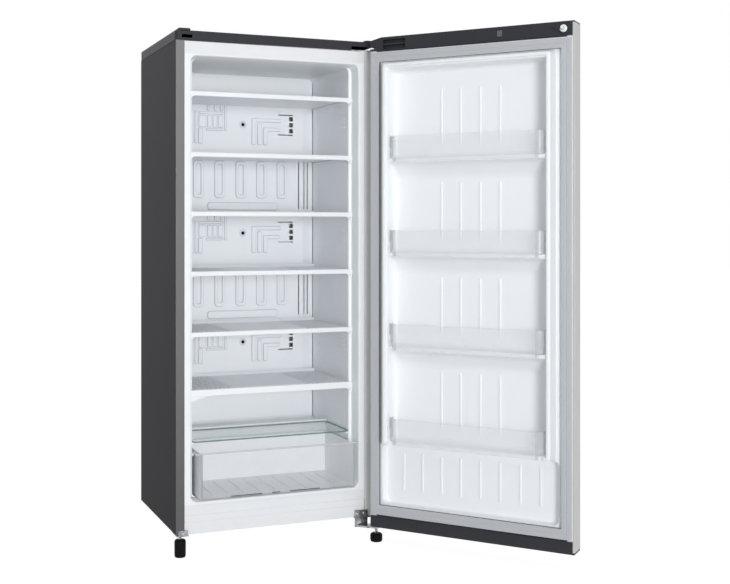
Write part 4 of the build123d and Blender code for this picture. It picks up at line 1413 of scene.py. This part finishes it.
# ---- cooling parts ---------------------------------------------------------------------
@dataclass
class Cooling(Maker):
    """Coil, fan, compressor, condenser and pipes."""

    condenser_half: float = 205.0
    condenser_y: float = 404.0
    condenser_low: float = 300.0
    condenser_high: float = 1180.0
    runs: int = 6
    tube: float = 2.5
    wires: int = 11
    wire: float = 0.9
    compressor: Point2 = (70.0, 305.0)
    shell: float = 58.0
    shell_low: float = 80.2
    shell_high: float = 208.2
    dome: float = 24.0
    leg: Point2 = (66.0, 42.0)
    leg_plate: Point2 = (76.0, 50.0)
    drier: Point3 = (-120.0, 350.0, 96.2)
    drier_radius: float = 9.0
    drier_neck: float = 12.0
    drier_tall: float = 80.0
    discharge_level: float = 180.2
    bay_top: float = 246.0

    def build(self) -> None:
        """Makes every piece of the cooling circuit."""
        self.shop.refine("evaporator", "defrost_heater", "drain_tray", "fan_motor", "fan_blades", edge=0.3)
        self.shop.refine("compressor_plate", "terminal_box", "drip_pan", "condenser_stays", edge=0.6)
        self._compressor()
        self._grommets()
        self._condenser()
        self._drier()
        self._pipes()

    def legs(self) -> list[Point2]:
        """Where the compressor's legs stand."""
        (x, y), (dx, dy) = self.compressor, self.leg
        return [(x + sx * dx, y + sy * dy) for sx in (-1, 1) for sy in (-1, 1)]

    def _compressor(self) -> None:
        """Two drawn cups welded at a seam, on a leg plate."""
        low, high, radius = self.shell_low, self.shell_high, self.shell
        seam = (low + high) / 2
        crown = [(radius * math.sin(t) ** 0.8, low + self.dome * (1 - math.cos(t))) for t in quarter_turn(8)]
        rows = [(max(reach, 4), level) for reach, level in crown]
        rows += [(radius, seam - 1), (radius + 3, seam), (radius + 3, seam + 4), (radius - 1, seam + 5)]
        rows += [(max(reach - 1, 4), low + high - level) for reach, level in reversed(crown)]
        form = Form().turned(Along.Z, self.compressor, rows, 56)
        (x, y), (wide, deep) = self.compressor, self.leg_plate
        plate = rectangle(x - wide, x + wide, y - deep, y + deep, 14, 6)
        holes = [circle(4.6, *place, 20) for place in self.legs()]
        form.solid(Along.Z, plate, low - 3, low + 0.2, 0.8, holes)
        self.shop.make(form.settle(), "compressor")

    def _grommets(self) -> None:
        """Waisted rubber feet of the compressor."""
        low, high = span("compressor_grommets")
        form = Form()
        base, top = low.z + 2.1, self.shell_low - 3.1
        rows = [
            (4.4, low.z), (4.4, base), (9, base), (9, base + 4), (7, base + 7), (7, top - 5), (9, top - 3),
            (9, top), (4.4, top), (4.4, high.z - 0.6), (3.6, high.z),
        ]
        for place in self.legs():
            form.turned(Along.Z, place, rows, 24)
        self.shop.make(form.settle(), "compressor_grommets")

    def _condenser(self) -> None:
        """Round tube that climbs from side to side, with upright wires welded across it."""
        pitch = (self.condenser_high - self.condenser_low) / (self.runs - 1)
        points: list[Point3] = []
        for run in range(self.runs):
            side = self.condenser_half if run % 2 else -self.condenser_half
            z = self.condenser_low + pitch * run
            points += [(side, self.condenser_y, z), (-side, self.condenser_y, z)]
        form = Form().tube(points, self.tube, 28)
        reach = self.condenser_half - 40
        y = self.condenser_y + self.tube + self.wire
        for number in range(self.wires):
            x = reach * (2 * number / (self.wires - 1) - 1)
            ends = [(x, y, self.condenser_low - 12), (x, y, self.condenser_high + 12)]
            form.tube(ends, self.wire, 1, 8)
        self.shop.make(form.settle(), "condenser")

    def _drier(self) -> None:
        """Copper filter drier, spun down to its pipes at both ends."""
        (x, y, low), neck, swell = self.drier, self.drier_neck, self.drier_radius - self.tube
        rows = [(self.tube + swell * math.sin(t), low + neck * (1 - math.cos(t))) for t in quarter_turn(6)]
        rows = [(max(reach, self.tube), level) for reach, level in rows]
        rows += [(reach, 2 * low + self.drier_tall + 2 * neck - level) for reach, level in reversed(rows)]
        self.shop.make(Form().turned(Along.Z, (x, y), rows, 32).settle(), "filter_drier")

    def _pipes(self) -> None:
        """Discharge pipe, condenser return and suction pipe."""
        (x, y), back = self.compressor, self.condenser_y
        start, up, down = -self.condenser_half - 0.5, -self.condenser_half - 14, -self.condenser_half - 22
        rise, drop, out = self.discharge_level, self.bay_top - 26, self.shell + 0.3
        drier_x, drier_y, drier_low = self.drier
        discharge = [
            (x + out, y, rise), (x + 90, y, rise), (x + 90, back, rise), (up, back, rise),
            (up, back, self.condenser_low), (start, back, self.condenser_low),
        ]
        home = [
            (start, back, self.condenser_high), (down, back, self.condenser_high), (down, back, drop),
            (drier_x, back, drop), (drier_x, drier_y, drop), (drier_x, drier_y, drier_low + 104.5),
        ]
        suction = [(x, y + out, rise - 20), (x, 374, rise - 20), (x, 374, self.bay_top - 3)]
        form = Form().tube(discharge, self.tube, 8).tube(home, self.tube, 8).tube(suction, 3.5, 6)
        self.shop.make(form.settle(), "refrigerant_pipes")


# ---- door ------------------------------------------------------------------------------
@dataclass
class Wrap:
    """A bent sheet: a path seen from above, drawn through a ladder of heights and some layers."""

    path: Sequence[Point2]
    layers: Sequence[float]
    levels: Sequence[float]
    filled: Callable[[Point2, float, int], bool]

    def points(self, layer: float) -> Outline:
        """Moves the path sideways.

        Args:
            layer: how far.

        Returns:
            As many points as the path has.
        """
        made: Outline = []
        for number, point in enumerate(self.path):
            here = Vector(point)
            before = Vector(self.path[max(number - 1, 0)])
            after = Vector(self.path[min(number + 1, len(self.path) - 1)])
            first = (here - before if number else after - here).normalized()
            last = (after - here if number < len(self.path) - 1 else here - before).normalized()
            one, two = Vector((-first.y, first.x)), Vector((-last.y, last.x))
            shift = (one + two) / max(1 + one.dot(two), 0.2) * layer
            made.append((here.x + shift.x, here.y + shift.y))
        return made

    def has(self, run: int, layer: int, band: int) -> bool:
        """Finds whether one cell of the sheet is there.

        Args:
            run: its number along the path.
            layer: its number through the layers.
            band: its number up the ladder of heights.

        Returns:
            False outside the lattice and where the sheet is cut away.
        """
        sizes = (len(self.path) - 1, len(self.layers) - 1, len(self.levels) - 1)
        if not all(0 <= at < size for at, size in zip((run, layer, band), sizes)):
            return False
        (x0, y0), (x1, y1) = self.path[run], self.path[run + 1]
        level = (self.levels[band] + self.levels[band + 1]) / 2
        return self.filled(((x0 + x1) / 2, (y0 + y1) / 2), level, layer)

    def build(self, form: Form) -> None:
        """Adds the sheet's outside to a form.

        Args:
            form: the form.
        """
        rows = [self.points(layer) for layer in self.layers]
        known: dict[tuple[int, int, int], BMVert] = {}

        def corner(run: int, layer: int, band: int) -> BMVert:
            """Finds the point at one node of the lattice, or makes it.

            Args:
                run: its number along the path.
                layer: its layer.
                band: its height's number.

            Returns:
                The shared point.
            """
            key = (run, layer, band)
            if key not in known:
                known[key] = form.mesh.verts.new((*rows[layer][run], self.levels[band]))
            return known[key]

        sides = (
            ((-1, 0, 0), ((0, 0, 0), (0, 1, 0), (0, 1, 1), (0, 0, 1))),
            ((1, 0, 0), ((1, 0, 0), (1, 0, 1), (1, 1, 1), (1, 1, 0))),
            ((0, -1, 0), ((0, 0, 0), (0, 0, 1), (1, 0, 1), (1, 0, 0))),
            ((0, 1, 0), ((0, 1, 0), (1, 1, 0), (1, 1, 1), (0, 1, 1))),
            ((0, 0, -1), ((0, 0, 0), (1, 0, 0), (1, 1, 0), (0, 1, 0))),
            ((0, 0, 1), ((0, 0, 1), (0, 1, 1), (1, 1, 1), (1, 0, 1))),
        )
        for run in range(len(self.path) - 1):
            for layer in range(len(self.layers) - 1):
                for band in range(len(self.levels) - 1):
                    if not self.has(run, layer, band):
                        continue
                    for (a, b, c), face in sides:
                        if not self.has(run + a, layer + b, band + c):
                            form.mesh.faces.new([corner(run + i, layer + j, band + k) for i, j, k in face])


@dataclass
class DoorLiner(Maker):
    """Moulded liner of the door: raised ring, four bays over ledges and a sunk panel below."""

    rack_lows: Sequence[float]
    half: float = 263.0
    low: float = 76.0
    high: float = 1269.0
    border: float = -10.0
    floor: float = -30.0
    ring_half: float = 223.5
    ring_low: float = 260.0
    ring_high: float = 1238.5
    ring_corner: float = 12.0
    ring_foot: float = 262.2
    root: float = 2.0
    tip: float = 24.0
    ledge_face: float = 17.5
    ledge_tall: float = 9.0
    opening_half: float = 209.0
    opening_high: float = 1224.5
    bay_half: float = 205.9
    panel_half: float = 231.0
    panel_low: float = 107.0
    panel_high: float = 260.7
    rib_pitch: float = 51.5
    rib_half: float = 2.6
    thickness: float = 1.5
    blend: Point2 = (195.0, 202.0)
    shoulder: float = 5.0
    side_root: float = 9.9
    under_root: float = 15.9
    cove: tuple[Point2, ...] = (
        (15.5, 0.9), (10, 2.9), (5, 4.7), (0, 6.8), (-6, 10.2), (-11, 15.2), (-16, 21), (-21, 27),
        (-24.5, 31.6), (-27, 36), (-28.8, 40.6), (-29.7, 45), (-30, 49),
    )
    lug: tuple[float, ...] = (202.0, 209.0, -4.0, 6.0, 24.0, 38.0)

    def outline(self, half: float, low: float, high: float, radius: float) -> Outline:
        """Rounded outline with extra points where the ring sinks to the lowest ledge.

        Args:
            half: half its width.
            low: its lower side.
            high: its upper side.
            radius: of its corners.

        Returns:
            The outline, anticlockwise.
        """
        corners = rectangle(-half, half, low, high, radius, 6)
        first, last = self.blend
        steps = [first + (last - first) * step / 4 for step in range(5)]
        places = [*(-x for x in reversed(steps)), *steps]
        return corners[:7] + [(x, low) for x in places] + corners[7:]

    def build(self) -> None:
        """Makes the liner, with a ledge at the foot of each rack."""
        form = Form()
        rim = rectangle(-self.half, self.half, self.low, self.high, 3, 3)
        rows = [(out, self.border + drop) for out, drop in ((0, -1.9), (0, -0.8), (-0.3, -0.2), (-0.9, 0))]
        edge = form.walls(Along.Y, rim, rows)
        foot, tip = self._ring(form)
        form.fill(Along.Y, edge[-1], foot, self._panel(form))
        brim, sunk = self._opening(form)
        form.fill(Along.Y, tip, brim)
        bays = [self._bay(form, low, above) for low, above in zip(self.rack_lows, (None, *self.rack_lows))]
        form.fill(Along.Y, sunk, *bays)
        self._sink(form)
        form.settle((0, 1, 0))
        bmesh.ops.solidify(form.mesh, geom=form.mesh.faces, thickness=self.thickness)
        self._ribs(form)
        self.shop.make(form.settle(), "door_liner")

    def _ring(self, form: Form) -> tuple[Any, Any]:
        """Outer side of the raised ring, from a hollow foot to a round shoulder.

        Args:
            form: the liner.

        Returns:
            The ring at its foot and the ring at its tip.
        """
        shape = self.outline(self.ring_half, self.ring_low, self.ring_high, self.ring_corner)
        hollow = [(down, self.border + across) for across, down in arc(self.root, 4)]
        rounding = [(-4.5 - across, self.tip - down) for across, down in arc(self.shoulder, 5)]
        rows = [*hollow, (-2.5, self.border + (self.tip - self.border) / 2), *rounding]
        rings = form.walls(Along.Y, shape, rows)
        for corner in (corner for ring in rings for corner in ring):
            corner.co.z = max(corner.co.z, self.ring_foot)
        return rings[0], rings[-1]

    def _opening(self, form: Form) -> tuple[Any, Any]:
        """Inner edge of the ring, down to the plane of the ledges.

        Args:
            form: the liner.

        Returns:
            The ring at its brim and the ring at the ledges' plane.
        """
        low = self.ring_low + 11.5
        shape = self.outline(self.opening_half, low, self.opening_high, 6)
        rows = [(1.6, self.tip), (0.7, self.tip - 0.3), (0.15, self.tip - 0.9), (0, self.tip - 2)]
        rows += [(-0.8, self.ledge_face)]
        rings = form.walls(Along.Y, shape, rows)
        return rings[0], rings[-1]

    def _panel(self, form: Form) -> list[BMVert]:
        """The sunk panel below the bays, with one section all round.

        Args:
            form: the liner.

        Returns:
            The ring at its brim.
        """
        shape = rectangle(-self.panel_half, self.panel_half, self.panel_low, self.panel_high, 16, 6)
        rows = [(-inset, level) for inset, level in wall(self.border, self.floor, 0.2, 1, 6)]
        rings = form.walls(Along.Y, shape, rows)
        form.fill(Along.Y, rings[-1])
        return rings[0]

    def _bay(self, form: Form, ledge: float, above: float | None) -> list[BMVert]:
        """A bay over one ledge: flat below, and a long hollow under the ledge above.

        Args:
            form: the liner.
            ledge: height of its ledge.
            above: height of the ledge above, or None for the topmost bay.

        Returns:
            The ring at its brim.
        """
        low, high = ledge + self.ledge_tall, above if above else self.opening_high - 4
        rings = []
        edges = [(inset, inset, inset, self.ledge_face - drop) for inset, drop in quarter(1.8, 3)]
        for depth, hollow in self.cove:
            aside = self._hollow(self.side_root, depth)
            below = self._hollow(self.under_root, depth)
            over = hollow if above else 0.1 * (self.ledge_face - depth) + aside
            edges.append((aside, below, over, depth))
        for aside, below, over, depth in edges:
            half = self.bay_half - aside
            share = min(max((self.ledge_face - depth) / 40, 0), 1)
            shape = rectangle(-half, half, low + below, high - over, 5 + 13 * share, 6)
            rings.append(form.ring(Along.Y, shape, depth))
        form.loft(rings)
        form.fill(Along.Y, rings[-1])
        return rings[0]

    def _hollow(self, radius: float, depth: float) -> float:
        """How far a hollow corner of a radius reaches out at a depth."""
        drop = min(max(self.floor + radius - depth, 0), radius)
        return radius - math.sqrt(max(radius * radius - drop * drop, 0))

    def _sink(self, form: Form) -> None:
        """Lowers the ring's foot to the ledges' plane between its two legs.

        Args:
            form: the liner.
        """
        first, last = self.blend
        for corner in form.mesh.verts:
            reach, y, z = abs(corner.co.x), corner.co.y, corner.co.z
            if y > self.ledge_face and z < self.ring_low + 20 and reach < last:
                share = max((reach - first) / (last - first), 0)
                share = share * share * (3 - 2 * share)
                corner.co.y = self.ledge_face + (y - self.ledge_face) * share

    def _ribs(self, form: Form) -> None:
        """Upright ribs in every bay, and the lugs that hold the racks.

        Args:
            form: the liner.
        """
        spans = [(self.panel_low + 36, self.panel_high - 22, 8)]
        ends = [self.opening_high - 58, *(above - 54 for above in self.rack_lows)]
        spans += [(low + 40, high, 4) for low, high in zip(self.rack_lows, ends)]
        near, far = self.floor - 2, self.floor + 2.4
        for low, high, count in spans:
            for number in range(count):
                x = (number - (count - 1) / 2) * self.rib_pitch
                form.box(x - self.rib_half, x + self.rib_half, near, far, low, high, 1.5)
        inner, outer, near, far, under, over = self.lug
        for low in self.rack_lows:
            for x0, x1 in ((inner, outer), (-outer, -inner)):
                form.box(x0, x1, near, far, low + under, low + over, 1.5)


@dataclass
class Door(Maker):
    """Door: skin, caps, liner, seal, racks, lock and grip."""

    half: float = 268.0
    inner: float = -12.0
    outer: float = -65.0
    corner: float = 6.0
    sheet: float = 0.9
    lip: float = 18.0
    skin_low: float = 72.8
    skin_high: float = 1272.0
    end_low: float = 47.0
    end_high: float = 1303.0
    grip: tuple[float, float, float, float] = (-253.2, -218.8, 619.5, 859.9)
    seal_half: float = 262.0
    seal_low: float = 79.0
    seal_high: float = 1266.0
    seal_wide: float = 24.5
    # share of the seal's width, and level, where the painted shadow along its inner side begins
    shadow_from: float = 0.85
    shadow_below: float = -1.5
    seal_section: tuple[Point2, ...] = (
        (0, -9.95), (20, -9.95), (20, -7.8), (19.2, -6.8), (16.8, -6.4), (16.2, -5.6), (16.8, -4.8),
        (19.2, -4.3), (20, -3.4), (20, -1.7), (19.4, -0.9), (18.4, -0.5), (11.4, -0.4), (10.6, -1.1),
        (9.4, -1.1), (8.6, -0.4), (1.6, -0.5), (0.6, -0.9), (0, -1.7), (0, -3.4), (0.8, -4.3),
        (3.2, -4.8), (3.8, -5.6), (3.2, -6.4), (0.8, -6.8), (0, -7.8),
    )
    rack_tall: float = 66.0
    rack_corner: float = 24.0
    rack_half: float = 205.2
    rack_front: float = 20.5
    rack_back: float = -14.0
    rack_wall: float = 2.2
    rack_foot: float = 10.0
    bead: Point2 = (4.6, 2.6)
    notch: Point2 = (-5.0, 7.0)
    notch_tall: float = 39.0
    tab: tuple[float, float, float, float] = (-89.0, -76.0, 1282.5, 1297.5)
    tab_depth: Point2 = (-2.0, 2.4)
    bezel: tuple[Point2, ...] = (
        (3.2, 0), (9, 0), (9, 2.4), (8.4, 3.4), (7.2, 3.95), (5.6, 3.95), (5, 3.4), (4.8, 2.2), (3.2, 2),
    )
    bolt_cut: float = 2.0
    bolt_bare: float = 5.0

    def build(self) -> None:
        """Makes every piece of the door."""
        lows = [span(f"rack_{number}")[0].z for number in range(1, 5)]
        self._skin()
        self._caps()
        DoorLiner(self.shop, lows).build()
        self._seal()
        for number, low in enumerate(lows, 1):
            self._rack(number, low)
        self.shop.refine("grip_cup", edge=1.2)
        self._bezel()
        self._bolt()

    def _skin(self) -> None:
        """Folded sheet whose free edge runs on over both caps."""
        x, y0, y1, r = self.half, self.inner, self.outer, self.corner
        near = [(-x + across, y1 + down) for across, down in arc(r, 6)]
        fold = [(-x + self.lip, y0), (-x + 5, y0), (-x + 1, y0), (-x + 0.3, y0 - 0.3), (-x, y0 - 1)]
        grip_x0, grip_x1, grip_z0, grip_z1 = self.grip
        left = [*fold, *near, (grip_x0, y1), (grip_x1, y1)]
        right = [(-u, v) for u, v in reversed([*fold, *near])]
        levels = [self.end_low, self.skin_low, grip_z0, grip_z1, self.skin_high, self.end_high]

        def filled(at: Point2, level: float, _: int) -> bool:
            """Leaves out the grip's opening and the places of the caps.

            Args:
                at: middle of a cell, seen from above.
                level: its height.
                _: its layer, the only one here.

            Returns:
                Whether the sheet is there.
            """
            if grip_x0 < at[0] < grip_x1 and grip_z0 < level < grip_z1:
                return False
            if self.skin_low < level < self.skin_high:
                return True
            free = at[0] < -x + r and (at[1] < y0 - 0.1 or at[0] < -x + 5)
            hinge = at[0] > x - 1 and level < self.skin_low
            return free or hinge

        form = Form()
        Wrap([*left, *right], (0, self.sheet), levels, filled).build(form)
        self.shop.make(form.settle(), "door_skin", edge=0.25)

    def _caps(self) -> None:
        """End caps, kept just inside the skin's free edge."""
        for node in ("door_cap_top", "door_cap_base"):
            form = self.shop.copied(node)
            for corner in form.mesh.verts:
                corner.co.x = max(corner.co.x, -self.half + self.sheet + 0.1)
                corner.co.y = min(corner.co.y, self.inner - 0.5)
            if node == "door_cap_top":
                known = set(form.mesh.faces)
                (x0, x1, z0, z1), (sunk, proud) = self.tab, self.tab_depth
                form.box(x0, x1, self.inner + sunk, self.inner + proud, z0, z1, 1.2)
                form.paint(1, lambda face: face not in known)
            self.shop.make(form, node, edge=0.8, extras=["slot_painted_shadow_and_tab_grey"])

    def _seal(self) -> None:
        """Mitred ring of the seal's section: foot, folded bellows and magnet pocket."""
        form = Form()
        rings = []
        for inset, level in self.seal_section:
            reach = inset * self.seal_wide / 20
            half = self.seal_half - reach
            shape = rectangle(-half, half, self.seal_low + reach, self.seal_high - reach)
            rings.append(form.ring(Along.Y, shape, level))
        form.loft([*rings, rings[0]])
        # faces along the seal's inner side get a dark grey: painted shadow of the seal on the liner
        form.settle().paint(1, self._in_painted_shadow)
        self.shop.make(form, "door_gasket", extras=["seal_painted_shadow"])

    def _in_painted_shadow(self, face: BMFace) -> bool:
        """Finds whether a face of the seal lies where its shadow along its inner side is painted.

        Args:
            face: the face.

        Returns:
            True for the faces that get the painted shadow.
        """
        place = face.calc_center_median()
        reach = min(self.seal_half - abs(place.x), place.z - self.seal_low, self.seal_high - place.z)
        return reach > self.seal_wide * self.shadow_from and place.y < self.shadow_below

    def _rack(self, number: int, low: float) -> None:
        """Clear guard with curved ends, a notch over each lug and a bead along its top.

        Args:
            number: which rack, 1 for the highest.
            low: height of its foot.
        """
        x, front, r = self.rack_half, self.rack_front, self.rack_corner
        bend = [(-x + across, front - down) for across, down in arc(r, 8)]
        side = [(-x, self.rack_back), (-x, self.notch[0])]
        left = [*side, *bend, (-x + r + 6, front)]
        path = [*left, *((-u, v) for u, v in reversed(left))]
        bead_out, bead_tall = self.bead
        high = low + self.rack_tall
        foot, over_lug, bead = low + self.rack_foot, low + self.notch_tall, high - bead_tall

        def filled(at: Point2, level: float, layer: int) -> bool:
            """Leaves out the notches and what is below the bead in the outer layer.

            Args:
                at: middle of a cell, seen from above.
                level: its height.
                layer: its layer, 1 for the bead's.

            Returns:
                Whether the guard is there.
            """
            if layer and level < bead:
                return False
            if at[1] < front - 1.5 and level < foot:
                return False
            return not (self.notch[0] < at[1] < self.notch[1] and level < over_lug)

        form = Form()
        Wrap(path, (0, -self.rack_wall, -bead_out), [low, foot, over_lug, bead, high], filled).build(form)
        form.settle().paint(1, lambda face: abs(face.calc_center_median().x) > x - r)
        self.shop.make(form, f"rack_{number}", edge=0.5, extras=["rack_end"])

    def _bolt(self) -> None:
        """Key barrel and stem, with its tongue in dark moulding."""
        form = self.shop.copied("lock_bolt")
        cut = self._lock_place()[0] + self.bolt_cut
        everything = [*form.mesh.verts, *form.mesh.edges, *form.mesh.faces]
        bmesh.ops.bisect_plane(form.mesh, geom=everything, plane_co=(cut, 0, 0), plane_no=(1, 0, 0))
        form.paint(2, lambda face: face.calc_center_median().y > self.inner + self.bolt_bare)
        form.paint(1, lambda face: face.material_index == 2 and face.calc_center_median().x > cut)
        extras = [Slot.CHARCOAL_PLASTIC, Slot.WHITE_PLASTIC]
        self.shop.make(form, "lock_bolt", edge=0.3, extras=extras)

    def _lock_place(self) -> Point2:
        """Finds where the lock's axis passes, with the door closed.

        Returns:
            Its place across and up.
        """
        low, high = span("lock_bezel")
        place = self.shop.opening.inverted() @ ((low + high) / 2)
        return place.x, place.z

    def _bezel(self) -> None:
        """Turned ring round the bolt."""
        x, z = self._lock_place()
        face = self.inner + 0.05
        form = Form()
        rings = [form.ring(Along.Y, circle(radius, x, z, 36), face + level) for radius, level in self.bezel]
        form.loft([*rings, rings[0]])
        self.shop.make(form.settle(), "lock_bezel", finish=Slot.WHITE_PLASTIC)


# ---- stage -----------------------------------------------------------------------------
@dataclass
class Stage:
    """White floor, soft studio light and the camera."""

    camera_at: Point3 = (-0.9506, -2.6666, 0.8202)
    camera_turn: float = math.radians(-21.78)
    lens: float = 54.79
    shift: Point2 = (0.0625, -0.0903)
    sky: float = 0.42
    reach: float = 14.0
    glow: float = 1.3
    lamps: tuple[tuple[str, Point3, Point3, float, float], ...] = (
        ("front", (-0.8, -6.5, 0.85), (0.1, 0.2, 0.68), 1.6, 186),
        ("key", (-0.5, -2.6, 2.8), (0.1, 0.1, 0.6), 1.6, 9),
    )

    def build(self) -> None:
        """Makes the camera, the floor, the world and the lamps."""
        self._camera()
        self._floor()
        self._world()
        for lamp in self.lamps:
            self._lamp(*lamp)
        bpy.context.scene.view_settings.view_transform = "Standard"

    def _camera(self) -> None:
        """Places the camera as the photograph was taken."""
        data = bpy.data.cameras.new("camera")
        data.lens, data.sensor_width = self.lens, 36
        data.shift_x, data.shift_y = self.shift
        data.clip_start, data.clip_end = 0.05, 60
        camera = bpy.data.objects.new("camera", data)
        camera.location = self.camera_at
        camera.rotation_euler = (QUARTER, 0, self.camera_turn)
        bpy.context.scene.collection.objects.link(camera)
        bpy.context.scene.camera = camera

    def _floor(self) -> None:
        """Lays a wide floor that shows white to the camera and keeps the soft shadow."""
        mesh = bpy.data.meshes.new("floor")
        square = rectangle(-self.reach, self.reach, -self.reach, self.reach)
        mesh.from_pydata([(*corner, 0) for corner in square], [], [(0, 1, 2, 3)])
        floor = bpy.data.objects.new("floor", mesh)
        bpy.context.scene.collection.objects.link(floor)
        board = self._surface(mesh)
        speck = board.noise(3, 2)
        board.set(Base_Color=board.mix(opaque((0.86,) * 3), opaque((0.88,) * 3), speck), Roughness=0.9)
        light = board.node("ShaderNodeEmission", {}, {"Color": opaque((1, 1, 1)), "Strength": self.glow})
        base = Wire(board, board.tree.nodes["Principled BSDF"].outputs[0])
        both = board.node("ShaderNodeMixShader", {}, {0: board.seen() * 0.7, 1: base, 2: light})
        board.feed(board.tree.nodes["Material Output"].inputs["Surface"], both)

    @staticmethod
    def _surface(mesh: bpy.types.Mesh) -> Board:
        """Gives a mesh a new material.

        Args:
            mesh: the mesh.

        Returns:
            The material's board.
        """
        material = bpy.data.materials.new(mesh.name + "_white")
        material.use_nodes = True
        mesh.materials.append(material)
        return Board(material.node_tree)

    def _world(self) -> None:
        """A world that is plain white to look at and soft, brighter from above, as light."""
        world = bpy.data.worlds.new("studio")
        bpy.context.scene.world = world
        world.use_nodes = True
        board = Board(world.node_tree)
        around = board.node("ShaderNodeTexCoord", {}, {}, "Generated")
        up = board.node("ShaderNodeSeparateXYZ", {}, {0: around}, "Z")
        level = self.sky * (0.72 + 0.38 * up)
        lit = board.tree.nodes["Background"]
        board.feed(lit.inputs["Color"], opaque((1, 1, 1)))
        board.feed(lit.inputs["Strength"], level + board.seen() * (1 - level))

    @staticmethod
    def _lamp(name: str, at: Point3, towards: Point3, size: float, power: float) -> None:
        """Hangs one square soft lamp.

        Args:
            name: of the lamp.
            at: where it hangs, in metres.
            towards: the point that it faces.
            size: length of its side, in metres.
            power: in watts.
        """
        data = bpy.data.lights.new(name, "AREA")
        data.size, data.energy = size, power
        lamp = bpy.data.objects.new(name, data)
        lamp.location = at
        lamp.rotation_euler = (Vector(towards) - Vector(at)).to_track_quat("-Z", "Y").to_euler()
        bpy.context.scene.collection.objects.link(lamp)


# ---- main ------------------------------------------------------------------------------
def corners(box: tuple[Vector, Vector]) -> list[list[float]]:
    """A box as plain lists of numbers."""
    return [list(map(float, corner)) for corner in box]


def main() -> None:
    """Builds the stage and every sub-assembly."""
    logging.basicConfig(level=logging.INFO, format="%(message)s")
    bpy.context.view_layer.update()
    Stage().build()
    palette = Palette()
    palette.dress_frame()
    shop = Shop(palette)
    shelves = [Shelf(shop, number) for number in range(1, 7)]
    makers: list[Maker] = [Cabinet(shop), Liner(shop), Duct(shop), *shelves, Glass(shop), Drawer(shop)]
    for maker in (*makers, Cooling(shop), Door(shop)):
        maker.build()


if __name__ == "__main__":
    main()
